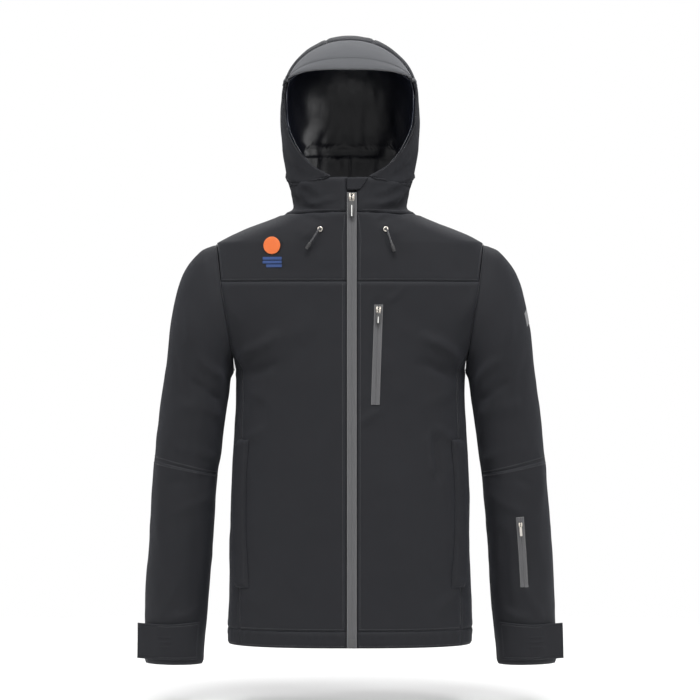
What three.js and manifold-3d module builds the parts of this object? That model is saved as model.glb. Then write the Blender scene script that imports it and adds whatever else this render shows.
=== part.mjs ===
// A hooded ski jacket, hanging as if worn, in millimetres.
// The origin is at the middle of the neck, where the wearer's or hanger's shoulders carry it.
// +Z is up, -Y is the jacket's front, and left means the wearer's left, at +X.
import * as THREE from "three";
import { mergeVertices } from "three/addons/utils/BufferGeometryUtils.js";
import Module from "manifold-3d";

// ---- driving sizes ----
const HEM_Z = -749; // below the neck
const HEM_SEAM_Z = -721;
const ARMHOLE_STEPS = 8; // edge lengths in half an armhole, shared by every panel that meets it
const CROWN_Z = 311;
const DOME_Z = 200; // the hood is half an ellipsoid above this level
const DOME_HALF_WIDTH = 119.5;
const NECK_FRONT = 103; // from the origin to the zip at the neck
const FRONT_LEAN = 0.04; // how far the zip leans forward for each millimetre down
const SHELL = 3.2; // thickness of the padded shell panels
const SEAM = 0.5; // gap left at each seam
const LINING = 1.2;
const LINING_DEPTH = 15; // from the shell's face to the lining, which leaves room for the pocket bags
const ARMHOLE_TOP = [232, -52]; // x and z
const ARMHOLE_FOOT = [201, -273];
const ARMHOLE_HALF_DEPTH = 72;
const ZIP_X = 3; // the zip's centre line
const ZIP_HALF = 7.8; // half the width of both tapes
const ZIP_TOP_Z = 33;
const SLIDER_Z = 25;
const TAPE = 1.2;
const CUFF_TAB = 3;
const CHIN_Z = 60; // top of the collar in front
const NAPE_Z = 22; // top of the collar behind

// ---- smooth tables: rows of [z, value], highest first ----
function smooth(rows, z) {
  const n = rows.length;
  let i = 0;
  while (i < n - 2 && z < rows[i + 1][0]) i += 1;
  const slope = (k) => {
    const a = rows[Math.max(k - 1, 0)];
    const b = rows[Math.min(k + 1, n - 1)];
    return (b[1] - a[1]) / (b[0] - a[0]);
  };
  const [z0, v0] = rows[i];
  const [z1, v1] = rows[i + 1];
  const h = z1 - z0;
  const t = Math.min(Math.max((z - z0) / h, 0), 1);
  const t2 = t * t;
  const t3 = t2 * t;
  return (
    v0 * (2 * t3 - 3 * t2 + 1) +
    slope(i) * h * (t3 - 2 * t2 + t) +
    v1 * (3 * t2 - 2 * t3) +
    slope(i + 1) * h * (t3 - t2)
  );
}

const WIDTH = [
  [200, DOME_HALF_WIDTH], [180, 121], [149, 121.5], [112, 118], [52, 107], [20, 102],
  [9, 102], [2, 113], [-9, 136], [-17.5, 157], [-30, 187], [-41, 211], [-52, 232],
];
const LOWER_WIDTH = [
  [-273, 201], [-331, 200.5], [-375, 203], [-434, 206], [-500, 208], [-640, 211],
  [-721, 214], [HEM_Z, 213],
];
const BACK = [
  [200, 116], [149, 118], [112, 112], [52, 97], [9, 88], [-20, 100], [-52, 116],
  [-150, 128], [-273, 130], [-500, 129], [HEM_Z, 138],
];
const HOOD_FRONT = [[200, 108], [149, 106], [100, 103], [CHIN_Z, 100.6]];
const SQUARENESS = [[CROWN_Z, 2.1], [60, 2.3], [0, 2.05], [-60, 2.2], [-273, 2.4], [HEM_Z, 2.5]];
const ARMHOLE_X = [[-52, 232], [-90, 227], [-130, 222], [-180, 214], [-230, 207], [-273, 201]];

const dome = (z) => Math.sqrt(Math.max(1 - ((z - DOME_Z) / (CROWN_Z - DOME_Z)) ** 2, 0));
const frontDepth = (z) => {
  if (z > DOME_Z) return 108 * dome(z);
  if (z > CHIN_Z) return smooth(HOOD_FRONT, z);
  return NECK_FRONT - FRONT_LEAN * z;
};
const backDepth = (z) => (z > DOME_Z ? 116 * dome(z) : smooth(BACK, z));
const squareness = (z) => smooth(SQUARENESS, z);
const armholeMiddle = (ARMHOLE_TOP[1] + ARMHOLE_FOOT[1]) / 2;
const armholeHalfHeight = (ARMHOLE_TOP[1] - ARMHOLE_FOOT[1]) / 2;
const armholeZ = Array.from({ length: ARMHOLE_STEPS + 1 }, (_, k) =>
  armholeMiddle + armholeHalfHeight * Math.cos((Math.PI * k) / ARMHOLE_STEPS));
const YOKE_SEAM_Z = armholeZ[3];
const SIDE_SEAM_Z = armholeZ[6]; // where the side panel's seams leave the armhole

const SIDE_DEPTH = ARMHOLE_HALF_DEPTH * Math.sin((Math.PI * 6) / ARMHOLE_STEPS);

// Half the depth of the armhole at one height, or of the side panel below it.
function sideDepth(z) {
  if (z <= SIDE_SEAM_Z) return smooth([[SIDE_SEAM_Z, SIDE_DEPTH], [-397, 58], [HEM_SEAM_Z, 75]], z);
  const s = Math.min(Math.abs(z - armholeMiddle) / armholeHalfHeight, 1);
  return ARMHOLE_HALF_DEPTH * Math.sqrt(1 - s * s);
}

// The torso is widened beside the armhole, so that the armhole's edge lies on it.
function halfWidth(z) {
  if (z > DOME_Z) return DOME_HALF_WIDTH * dome(z);
  if (z >= ARMHOLE_TOP[1]) return smooth(WIDTH, z);
  if (z <= ARMHOLE_FOOT[1]) return smooth(LOWER_WIDTH, z);
  const s = (z - armholeMiddle) / armholeHalfHeight;
  const n = squareness(z);
  const depth = ARMHOLE_HALF_DEPTH * Math.sqrt(1 - s * s);
  return smooth(ARMHOLE_X, z) / (1 - (depth / frontDepth(z)) ** n) ** (1 / n);
}

// A point of the body's surface. Angle 0 is the left side, -90 degrees the front and 90 the back.
function skin(angle, z) {
  const n = 2 / squareness(z);
  const c = Math.cos(angle);
  const s = Math.sin(angle);
  const depth = s < 0 ? frontDepth(z) : backDepth(z);
  return new THREE.Vector3(
    halfWidth(z) * Math.sign(c) * Math.abs(c) ** n,
    depth * Math.sign(s) * Math.abs(s) ** n,
    z,
  );
}
const angleAtY = (y, depth, n) => Math.asin(Math.min(Math.abs(y) / depth, 1) ** (n / 2));
const angleAtX = (x, z) => Math.acos(Math.min(Math.abs(x) / halfWidth(z), 1) ** (squareness(z) / 2));
const frontEdge = (z) => -angleAtY(sideDepth(z), frontDepth(z), squareness(z));
const backEdge = (z) => -frontEdge(z);
// The angle of the zip's edge, measured on the left side and mirrored for the right.
const zipEdge = (side) => (z) => -angleAtX(ZIP_HALF + side * ZIP_X, z);
const lerp = THREE.MathUtils.lerp;
const mirror = (p) => new THREE.Vector3(-p.x, p.y, p.z);

// ---- solids ----
const group = new THREE.Group();
const finishes = {
  shell: [0x1e1f24, 0.85, 0],
  visor: [0x484a4e, 0.8, 0],
  lining: [0x12141c, 0.35, 0],
  zip: [0x4b4b4d, 0.45, 0],
  metal: [0xb5b0a4, 0.35, 1],
  plastic: [0x141416, 0.4, 0],
  cord: [0x17181c, 0.8, 0],
  badge: [0xe08a1c, 0.6, 0],
  reflective: [0xb8babd, 0.4, 0],
};
function add(name, geometry, finish) {
  const [color, roughness, metalness] = finishes[finish];
  const mesh = new THREE.Mesh(geometry, new THREE.MeshStandardMaterial({ color, roughness, metalness }));
  mesh.name = name;
  group.add(mesh);
}

// A closed solid from a grid of outer points and the grid of inner points behind it.
// A wrapped grid is a tube: its first and last rows are the same points.
function solid(outer, inner, wrap = false) {
  const nu = outer.length;
  const nv = outer[0].length;
  const points = [...outer.flat(), ...inner.flat()];
  const at = (layer, i, j) => layer * nu * nv + i * nv + j;
  const faces = [];
  const quad = (a, b, c, d) => faces.push(a, b, c, a, c, d);
  for (let i = 0; i < nu - 1; i += 1) {
    for (let j = 0; j < nv - 1; j += 1) {
      quad(at(0, i, j), at(0, i + 1, j), at(0, i + 1, j + 1), at(0, i, j + 1));
      quad(at(1, i, j), at(1, i, j + 1), at(1, i + 1, j + 1), at(1, i + 1, j));
    }
    quad(at(0, i, 0), at(1, i, 0), at(1, i + 1, 0), at(0, i + 1, 0));
    quad(at(0, i, nv - 1), at(0, i + 1, nv - 1), at(1, i + 1, nv - 1), at(1, i, nv - 1));
  }
  for (let j = 0; j < nv - 1 && !wrap; j += 1) {
    quad(at(0, 0, j), at(0, 0, j + 1), at(1, 0, j + 1), at(1, 0, j));
    quad(at(0, nu - 1, j), at(1, nu - 1, j), at(1, nu - 1, j + 1), at(0, nu - 1, j + 1));
  }
  let volume = 0;
  for (let k = 0; k < faces.length; k += 3) {
    const [a, b, c] = faces.slice(k, k + 3).map((f) => points[f]);
    volume += a.dot(new THREE.Vector3().crossVectors(b, c));
  }
  if (volume < 0) faces.reverse();
  const geometry = new THREE.BufferGeometry();
  geometry.setAttribute("position", new THREE.Float32BufferAttribute(points.flatMap((p) => [p.x, p.y, p.z]), 3));
  geometry.setIndex(faces);
  geometry.computeVertexNormals();
  return geometry;
}

const STEP = 1e-4;
function normalAt(surface, u, v, out) {
  const du = surface(u + STEP, v).sub(surface(u - STEP, v));
  const dv = surface(u, v + STEP).sub(surface(u, v - STEP));
  return new THREE.Vector3().crossVectors(du, dv).normalize().multiplyScalar(out);
}

// A sheet cut from a surface: u and v run 0 to 1, trimmed by the seam gap on every edge.
// nu and nv are each a count of equal steps, or the list of stops from 0 to 1.
// It fills the space between two depths behind the surface, each a number or a function of u.
// out is 1 or -1, so that the normal faces out of the jacket. A heart replaces the normals by lines from it.
function sheet(surface, nu, nv, near, far, out, { wrap = false, trim = SEAM / 2, heart = null } = {}) {
  const middleOf = surface(0.5, 0.5);
  const spanU = surface(1, 0.5).distanceTo(middleOf) + middleOf.distanceTo(surface(0, 0.5));
  const spanV = surface(0.5, 1).distanceTo(middleOf) + middleOf.distanceTo(surface(0.5, 0));
  const cut = (t, edge) => lerp(edge, 1 - edge, t);
  const stops = (n) => (Array.isArray(n) ? n : Array.from({ length: n + 1 }, (_, i) => i / n));
  const grid = (depth) =>
    stops(nu).map((t) =>
      stops(nv).map((w) => {
        const u = wrap ? t : cut(t, trim / spanU);
        const v = cut(w, trim / spanV);
        const back = typeof depth === "function" ? depth(t) : depth;
        const p = surface(u, v);
        const outward = heart ? p.clone().sub(heart).normalize() : normalAt(surface, u, v, out);
        return p.addScaledVector(outward, -back);
      }),
    );
  return solid(grid(near), grid(far), wrap);
}

// A panel between two angles of the body, through a list of heights, on one side of it.
function bodyPanel(side, from, to, levels, nu, near = 0, far = SHELL) {
  const top = levels[0];
  const foot = levels[levels.length - 1];
  const nv = levels.map((z) => (z - top) / (foot - top));
  const surface = (u, v) => {
    const z = lerp(top, foot, v);
    const p = skin(lerp(from(z), to(z), u), z);
    return side < 0 ? mirror(p) : p;
  };
  return sheet(surface, nu, nv, near, far, -side);
}

const wasm = await Module();
wasm.setup();
function toSolid(geometry) {
  const plain = geometry.clone();
  plain.deleteAttribute("normal");
  plain.deleteAttribute("uv");
  const merged = mergeVertices(plain, 1e-3);
  const vertProperties = merged.getAttribute("position").array;
  const triVerts = new Uint32Array(merged.getIndex().array);
  return new wasm.Manifold(new wasm.Mesh({ numProp: 3, vertProperties, triVerts }));
}
function toGeometry(made) {
  const mesh = made.getMesh();
  const geometry = new THREE.BufferGeometry();
  geometry.setAttribute("position", new THREE.Float32BufferAttribute(mesh.vertProperties, 3));
  geometry.setIndex(Array.from(mesh.triVerts));
  const flat = geometry.toNonIndexed();
  flat.computeVertexNormals();
  return flat;
}
const join = (a, b) => toGeometry(toSolid(a).add(toSolid(b)));
const subtract = (a, b) => toGeometry(toSolid(a).subtract(toSolid(b)));

// A frame on the surface: local x runs across, local z up the strip and local -y out of the jacket.
function frameAt(position, up, out) {
  const z = up.clone().normalize();
  const y = out.clone().negate().addScaledVector(z, out.dot(z)).normalize();
  const x = new THREE.Vector3().crossVectors(y, z);
  return new THREE.Matrix4().makeBasis(x, y, z).setPosition(position);
}
function extrude(points, depth, holes = []) {
  const shape = new THREE.Shape(points.map(([x, y]) => new THREE.Vector2(x, y)));
  shape.holes = holes.map((hole) => new THREE.Path(hole.map(([x, y]) => new THREE.Vector2(x, y))));
  return new THREE.ExtrudeGeometry(shape, { depth, bevelEnabled: false, steps: 1 });
}
const circle = (r, sides, cx = 0, cy = 0) =>
  Array.from({ length: sides }, (_, i) => {
    const a = (2 * Math.PI * i) / sides;
    return [cx + r * Math.cos(a), cy + r * Math.sin(a)];
  });

// ---- body panels ----
const yokeLevels = [-0.5, -9, -17.5, -30, -41, ...armholeZ.slice(0, 4)];
const LOWER_STEPS = 9;
const lowerLevels = Array.from({ length: LOWER_STEPS + 1 }, (_, i) =>
  lerp(SIDE_SEAM_Z, HEM_SEAM_Z, i / LOWER_STEPS));
const panelLevels = [...armholeZ.slice(3, 6), ...lowerLevels];
const hemLevels = [HEM_SEAM_Z, HEM_Z];
const sides = [["left", 1], ["right", -1]];
const frontPoint = (x, z) => {
  const n = squareness(z);
  return new THREE.Vector3(x, -frontDepth(z) * (1 - (Math.abs(x) / halfWidth(z)) ** n) ** (1 / n), z);
};
const strip = (x0, x1, z0, z1) => (u, v) => {
  const z = lerp(z0, z1, v);
  return frontPoint(lerp(x0(z), x1(z), u), z);
};
const constant = (value) => () => value;

// The chest pocket's opening, from its top to its foot.
const CHEST_TOP = frontPoint(49.3, -160);
const CHEST_FOOT = frontPoint(43.3, -332);
const CHEST_ZIP_HALF = 7.8;
const chestUp = CHEST_TOP.clone().sub(CHEST_FOOT).normalize();
const chestX = (z) => lerp(CHEST_FOOT.x, CHEST_TOP.x, (z - CHEST_FOOT.z) / (CHEST_TOP.z - CHEST_FOOT.z));

function chestSlot() {
  const long = CHEST_TOP.distanceTo(CHEST_FOOT) + 1;
  const half = CHEST_ZIP_HALF + SEAM;
  const block = new THREE.BoxGeometry(2 * half, 40, long);
  return block.applyMatrix4(frameAt(CHEST_TOP.clone().lerp(CHEST_FOOT, 0.5), chestUp, new THREE.Vector3(0, -1, 0)));
}

const farBack = (z) => Math.PI - backEdge(z);
for (const [name, side] of sides) {
  const inner = zipEdge(side);
  add(`chest_yoke_${name}`, bodyPanel(side, inner, frontEdge, yokeLevels, 8), "shell");
  const panel = bodyPanel(side, inner, frontEdge, panelLevels, 8);
  add(`front_panel_${name}`, side > 0 ? subtract(panel, chestSlot()) : panel, "shell");
  add(`hem_band_${name}`, bodyPanel(side, inner, frontEdge, hemLevels, 8), "shell");
}
add("back_yoke", bodyPanel(1, backEdge, farBack, yokeLevels, 16), "shell");
add("back_panel", bodyPanel(1, backEdge, farBack, panelLevels, 14), "shell");
add("hem_band_back", bodyPanel(1, frontEdge, (z) => Math.PI - frontEdge(z), hemLevels, 24), "shell");

// The side panel runs from the foot of the armhole to the hem band.
const across = [];
for (let k = 6; k <= 10; k += 1) {
  const here = Math.sin((Math.PI * (k - 8)) / ARMHOLE_STEPS) / Math.sin((Math.PI * 2) / ARMHOLE_STEPS);
  if (across.length) across.push((across[across.length - 1] + here) / 2);
  across.push(here);
}
for (const [name, side] of sides) {
  const surface = (u, v) => {
    const w = lerp(-1, 1, u);
    const y = Math.abs(w) * SIDE_DEPTH;
    const top = armholeMiddle - armholeHalfHeight * Math.sqrt(1 - (y / ARMHOLE_HALF_DEPTH) ** 2);
    const z = lerp(top, HEM_SEAM_Z, v);
    const reach = Math.abs(w) * sideDepth(Math.min(z, SIDE_SEAM_Z));
    const p = skin(Math.sign(w) * angleAtY(reach, frontDepth(z), squareness(z)), z);
    return side < 0 ? mirror(p) : p;
  };
  const stops = across.map((w) => (w + 1) / 2);
  add(`side_panel_${name}`, sheet(surface, stops, LOWER_STEPS, 0, SHELL, -side), "shell");
}

// ---- collar and hood ----
const HOOD_HEART = new THREE.Vector3(0, 0, 130);
function outside(p) {
  if (p.z > CROWN_Z - 0.01) return 1;
  const n = squareness(p.z);
  const depth = p.y < 0 ? frontDepth(p.z) : backDepth(p.z);
  return (Math.abs(p.x) / halfWidth(p.z)) ** n + (Math.abs(p.y) / depth) ** n - 1;
}
// Where a line from the middle of the hood meets its surface.
function hoodHit(direction) {
  let near = 0;
  let far = 260;
  for (let i = 0; i < 40; i += 1) {
    const t = (near + far) / 2;
    if (outside(HOOD_HEART.clone().addScaledVector(direction, t)) < 0) near = t;
    else far = t;
  }
  return HOOD_HEART.clone().addScaledVector(direction, near);
}
const splitZ = (y) => lerp(CHIN_Z, NAPE_Z, (y + 100) / 190);

// The hood's edge, from the corner of the visor down the face opening to the chin, then back to the nape.
const rimX = [113, 113.3, 114, 115, 104, 71, 33];
const rimZ = [229, 225.5, 218, 180, 128, 86, 62];
const alongRow = (values, t) => smooth(values.map((value, i) => [-i, value]), -t * (values.length - 1));
const CHIN_AT = 0.66;
const collarAngle = [-1.27, -0.6, 0.1, 0.65, 1.1];
function rim(v) {
  if (v < CHIN_AT) return frontPoint(alongRow(rimX, v / CHIN_AT), alongRow(rimZ, v / CHIN_AT));
  const angle = alongRow(collarAngle, (v - CHIN_AT) / (1 - CHIN_AT));
  let z = NAPE_Z;
  for (let i = 0; i < 20; i += 1) z = splitZ(skin(angle, z).y) - 4;
  return skin(angle, z);
}
// The line over the middle of the hood, from the visor's edge to the nape.
function spineDirection(v) {
  const rows = [[-100, 117], [-60, 168], [10, 181], [86, 130], [117, 40], [108, -50], [88, -106]];
  const y = alongRow(rows.map((r) => r[0]), v);
  const z = alongRow(rows.map((r) => r[1]), v);
  return new THREE.Vector3(0, y, z).normalize();
}
// u is 0 over the middle of the head and 1 at the edge. The sign of u gives the side.
// Each line leaves the middle squarely and bends round to the edge.
function hoodSurface(u, v) {
  const top = hoodHit(spineDirection(v)).sub(HOOD_HEART);
  const edge = rim(v).sub(HOOD_HEART);
  const t = Math.abs(u);
  const direction = top.clone().multiplyScalar(1 - t * t).addScaledVector(edge, t * t);
  direction.x += 2 * t * (1 - t) * 0.62 * edge.x;
  const p = hoodHit(direction.normalize());
  return u < 0 ? mirror(p) : p;
}
const VISOR_V = 0.2;
const STRIP_U = 0.3;
const HOOD_STEPS = 12;
const VISOR_STEPS = 4;
const SIDE_STEPS = 6;
// A block that holds everything below the line where the hood folds off the collar, or above it.
function foldBlock(below) {
  const block = new THREE.BoxGeometry(600, 600, 200);
  const slope = Math.atan2(NAPE_Z - CHIN_Z, 190);
  block.translate(0, 0, below ? SEAM / 2 - 100 : 100 - SEAM / 2);
  block.rotateX(slope);
  return block.translate(0, -5, (CHIN_Z + NAPE_Z) / 2);
}
const part = (u0, u1, v0, v1) => (u, v) => hoodSurface(lerp(u0, u1, u), lerp(v0, v1, v));
const fromHeart = { heart: HOOD_HEART };
for (const [name, side] of sides) {
  const [from, to] = side > 0 ? [STRIP_U, 1] : [-1, -STRIP_U];
  const panel = sheet(part(from, to, VISOR_V, 1), SIDE_STEPS, HOOD_STEPS, 0, SHELL, 1, fromHeart);
  add(`hood_side_${name}`, subtract(panel, foldBlock(true)), "shell");
}
const strap = sheet(part(-STRIP_U, STRIP_U, VISOR_V, 1), 6, HOOD_STEPS, 0, SHELL, 1, fromHeart);
add("hood_center_panel", subtract(strap, foldBlock(true)), "shell");
const sideStops = Array.from({ length: SIDE_STEPS + 1 }, (_, i) => lerp(STRIP_U, 1, i / SIDE_STEPS));
const centerStops = [-2, -1, 0, 1, 2].map((k) => (k * STRIP_U) / 3);
const visorStops = [...sideStops.map((u) => -u).reverse(), ...centerStops, ...sideStops].map((u) => (u + 1) / 2);
add("hood_visor", sheet(part(-1, 1, 0, VISOR_V), visorStops, VISOR_STEPS, 0, SHELL, 1, fromHeart), "visor");
const liningStops = [
  ...Array.from({ length: VISOR_STEPS }, (_, i) => (i / VISOR_STEPS) * VISOR_V),
  ...Array.from({ length: HOOD_STEPS + 1 }, (_, i) => lerp(VISOR_V, 1, i / HOOD_STEPS)),
];
// The lining stops one row short of the face opening, where the shell turns in over its edge.
const liningEdge = sideStops[sideStops.length - 2];
const liningAcross = visorStops.slice(1, -1).map((t) => ((2 * t - 1) / liningEdge + 1) / 2);
const hoodLining = sheet(part(-liningEdge, liningEdge, 0, 1), liningAcross, liningStops, SHELL + 4, SHELL + 4 + LINING, 1,
  fromHeart);
add("hood_lining", subtract(hoodLining, foldBlock(true)), "lining");
add("hood_adjuster", sheet(part(-0.09, 0.09, 0.55, 0.575), 2, 2, -6, -0.6, 1, fromHeart), "plastic");

for (const [name, side] of sides) {
  const surface = (u, v) => {
    const angle = lerp(-angleAtX(ZIP_HALF + side * ZIP_X, 30), Math.PI / 2, u);
    let top = NAPE_Z;
    for (let i = 0; i < 12; i += 1) top = splitZ(skin(angle, top).y) + 4;
    const z = lerp(top, 0, v);
    const start = -angleAtX(ZIP_HALF + side * ZIP_X, z);
    const p = skin(lerp(start, Math.PI / 2, u), z);
    return side < 0 ? mirror(p) : p;
  };
  add(`collar_${name}`, subtract(sheet(surface, 14, 3, 0, SHELL, -side), foldBlock(false)), "shell");
}
const GUARD_FOOT_Z = 37.5;
const guardEdge = (z) => 12 + 19 * (Math.max(z - GUARD_FOOT_Z, 0) / 22) ** 0.6;
add("chin_guard", sheet(strip(constant(-5), guardEdge, 59, GUARD_FOOT_Z), 6, 6, -3, -0.5, -1), "shell");

// ---- main zip ----
const TAPE_FOOT_Z = HEM_Z + 2;
add("main_zip_tape_left", sheet(strip(constant(ZIP_X), constant(ZIP_X + ZIP_HALF), ZIP_TOP_Z, TAPE_FOOT_Z),
  2, 12, 0.3, 0.3 + TAPE, -1, { trim: 0.2 }), "zip");
add("main_zip_tape_right", sheet(strip(constant(ZIP_X - ZIP_HALF), constant(ZIP_X), ZIP_TOP_Z, TAPE_FOOT_Z),
  2, 12, 0.3, 0.3 + TAPE, -1, { trim: 0.2 }), "zip");
add("storm_flap", sheet(strip(constant(-18), constant(28), CHIN_Z - 4, HEM_Z + 4), 4, 14, SHELL + 1.8, SHELL + 3, -1), "shell");
add("main_zip_box", sheet(strip(constant(ZIP_X - 5), constant(ZIP_X + 5), HEM_Z + 16, HEM_Z + 3), 1, 1, -2.6, -0.2, -1), "metal");

// ---- zip sliders and pullers ----
// Shapes are drawn in x and y with a depth, then stood up: local z runs up the zip, and -y out of the jacket.
const X = new THREE.Vector3(1, 0, 0);
const Y_OUT = new THREE.Vector3(0, -1, 0);
const Z = new THREE.Vector3(0, 0, 1);
const facing = new THREE.Matrix4().makeBasis(X, Z, Y_OUT); // flat on the jacket, thick outwards
const edgeOn = new THREE.Matrix4().makeBasis(Z, Y_OUT, X); // seen from the side, thick across
const BODY_THICK = 3;
const HOLE_OUT = BODY_THICK + 1.8; // from the tape's face to the middle of the bridge's hole
const HOLE_R = 1.35;
const BAR = 1.5; // thickness of the puller and of its top bar
const LIFT = 0.4; // from the tape's face to the slider

function slider(place, k) {
  const outline = [[-3.6, -7], [3.6, -7], [5.4, 1], [5, 6.5], [1.6, 7], [-1.6, 7], [-5, 6.5], [-5.4, 1]];
  const plate = extrude(outline, BODY_THICK).applyMatrix4(facing);
  const top = HOLE_OUT + HOLE_R + 1.3;
  const side = [[-5, 2], [5, 2], [5, HOLE_OUT], [3, top], [-3, top], [-5, HOLE_OUT]];
  const hole = circle(HOLE_R, 10, 0, HOLE_OUT);
  const bridge = extrude(side, 3, [hole]).applyMatrix4(edgeOn).translate(-1.5, 0, 0);
  const made = join(plate, bridge).scale(k, k, k).translate(0, -LIFT, 0);
  return made.applyMatrix4(place);
}
// The puller hangs from its top bar, at the middle of the bridge's hole.
function puller(place, k, long, wide) {
  const w = wide / 2;
  const rim = [[-3.3, BAR / 2], [-3.3, -7], [-w, -11], [-w, 4 - long], [2 - w, -long], [w - 2, -long],
    [w, 4 - long], [w, -11], [3.3, -7], [3.3, BAR / 2]];
  const eye = [[-1.9, -BAR / 2], [1.9, -BAR / 2], [1.9, -7.4], [-1.9, -7.4]];
  const made = extrude(rim, BAR, [eye]).applyMatrix4(facing).translate(0, BAR / 2 - HOLE_OUT, 0);
  return made.scale(k, k, k).translate(0, -LIFT, 0).applyMatrix4(place);
}

const mainUp = new THREE.Vector3(0, FRONT_LEAN, 1);
const mainPlace = frameAt(frontPoint(ZIP_X, SLIDER_Z).add(new THREE.Vector3(0, 0.3, 0)), mainUp, Y_OUT);
add("main_slider", slider(mainPlace, 1), "metal");
add("main_puller", puller(mainPlace, 1, 36, 8.6), "plastic");

// The chest zip fills its slot, and its slider parks at the top.
const chestOut = new THREE.Vector3(0, -1, 0);
const chestMiddle = CHEST_TOP.clone().lerp(CHEST_FOOT, 0.5);
const chestLong = CHEST_TOP.distanceTo(CHEST_FOOT);
const chestTape = new THREE.BoxGeometry(2 * CHEST_ZIP_HALF, TAPE, chestLong);
add("chest_zip_tape", chestTape.translate(0, TAPE / 2, 0).applyMatrix4(frameAt(chestMiddle, chestUp, chestOut)), "zip");
const chestPlace = frameAt(CHEST_TOP.clone().addScaledVector(chestUp, -9), chestUp, chestOut);
add("chest_slider", slider(chestPlace, 0.85), "metal");
add("chest_puller", puller(chestPlace, 0.85, 30, 7.5), "plastic");
add("chest_pocket_bag", sheet(strip(constant(28), constant(128), -150, -338), 6, 6, 5.6, 8, -1), "lining");

// Each hand pocket's zip lies over the side seam, under a welt that opens to the side.
const POCKET_TOP_Z = -396;
const POCKET_FOOT_Z = -646;
function pocketStrip(side, from, to, top, foot, us, near, far) {
  const surface = (u, v) => {
    const z = lerp(top, foot, v);
    const bow = 5 * Math.sin(Math.PI * v) - 6;
    const p = skin(frontEdge(z) + (lerp(from, to, u) + bow) / 110, z);
    return side < 0 ? mirror(p) : p;
  };
  return sheet(surface, us, 8, near, far, -side);
}
for (const [name, side] of sides) {
  add(`hand_zip_tape_${name}`, pocketStrip(side, -4, 10, POCKET_TOP_Z, POCKET_FOOT_Z, 3, -1, -0.4), "zip");
  const under = (u) => (u < 0.25 ? -0.5 : -6.2);
  add(`hand_pocket_welt_${name}`,
    pocketStrip(side, -13, 11, POCKET_TOP_Z + 3, POCKET_FOOT_Z - 3, [0, 0.24, 0.26, 0.6, 1], -8, under), "shell");
  const z = POCKET_TOP_Z - 14;
  const at = skin(frontEdge(z) - 2.2 / 110, z);
  const out = at.clone().setZ(0).setX(at.x * 0.75).normalize();
  const foot = skin(frontEdge(z - 40) - 2.2 / 110, z - 40);
  const hold = side < 0 ? [mirror(at), mirror(foot), mirror(out)] : [at, foot, out];
  const place = frameAt(hold[0].addScaledVector(hold[2], 2.2), hold[0].clone().sub(hold[1]), hold[2]);
  add(`hand_slider_${name}`, extrude([[-3, -6], [3, -6], [3.6, 2], [2, 6], [-2, 6], [-3.6, 2]], 2.6)
    .applyMatrix4(facing).translate(0, -LIFT, 0).applyMatrix4(place), "metal");
  add(`hand_pocket_bag_${name}`, bodyPanel(side, (v) => -1.32, (v) => frontEdge(v) - 0.05,
    [-430, -480, -530, -580, -640, -700], 6, 5.6, 8), "lining");
}

// ---- sleeves ----
// One row for each ring: outer x and z, inner x and z, half depth.
const rings = [
  [232, -52, 201, -273, 72], [262, -67, 207, -288, 77], [293, -110, 211, -318, 79], [312, -185, 216, -350, 78],
  [322, -264, 221, -385, 74], [333, -345, 226, -425, 70], [342, -430, 231, -455, 66], [349, -520, 237, -532, 62],
  [355, -610, 243, -614, 58], [358, -695, 249, -697, 54], [360, -784, 255.5, -786, 51],
];
const ELBOW_RING = 6;
const ARMHOLE_GAP = 0.13; // the share of the first ring step left free at the armhole
const lastRing = rings.length - 1;
const ringValue = (k, t) => alongRow(rings.map((r) => r[k]), t / lastRing);
function sleevePoint(side, around, t) {
  const [ox, oz, ix, iz, depth] = [0, 1, 2, 3, 4].map((k) => ringValue(k, t));
  const c = Math.cos(2 * Math.PI * around);
  const s = Math.sin(2 * Math.PI * around);
  const p = new THREE.Vector3((ox + ix) / 2 + ((ox - ix) / 2) * c, -depth * s, (oz + iz) / 2 + ((oz - iz) / 2) * c);
  if (t < 1 && s < 0) p.y *= 1 + (backDepth(p.z) / frontDepth(p.z) - 1) * (1 - t) ** 2;
  if (t < 1) p.x += (smooth(ARMHOLE_X, Math.min(Math.max(p.z, -273), -52)) - p.x) * (1 - t) ** 2;
  return side < 0 ? mirror(p) : p;
}
const RING_STEPS = 2 * ARMHOLE_STEPS;
function sleeve(side, from, to, steps, near = 0, far = SHELL) {
  const surface = (u, v) => sleevePoint(side, u, lerp(from, to, v));
  return sheet(surface, RING_STEPS, steps, near, far, side, { wrap: true });
}
for (const [name, side] of sides) {
  add(`sleeve_upper_${name}`, sleeve(side, ARMHOLE_GAP, ELBOW_RING, 9), "shell");
  add(`sleeve_lower_${name}`, sleeve(side, ELBOW_RING, lastRing, 5), "shell");
}

// Each cuff tab is sewn along its inner end and wraps the cuff's front to the outside, where it stands off.
const TAB_SEWN = 0.39; // places around the cuff: 0 is the outer side and 0.25 the front
const TAB_END = 0.055;
const TAB_T = [9.15, 9.9];
const standOff = (u) => 0.7 + 13 * Math.max((u - 0.7) / 0.3, 0) ** 2;
for (const [name, side] of sides) {
  const place = (u, v) => {
    const t = lerp(TAB_T[0] + 0.06 * Math.min(u * 2, 1), TAB_T[1], v);
    return sleevePoint(side, lerp(TAB_SEWN, TAB_END, u), t);
  };
  const tab = sheet(place, 12, 1, (u) => -standOff(u) - CUFF_TAB, (u) => -standOff(u), -side);
  add(`cuff_tab_${name}`, tab, "shell");
}

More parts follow.
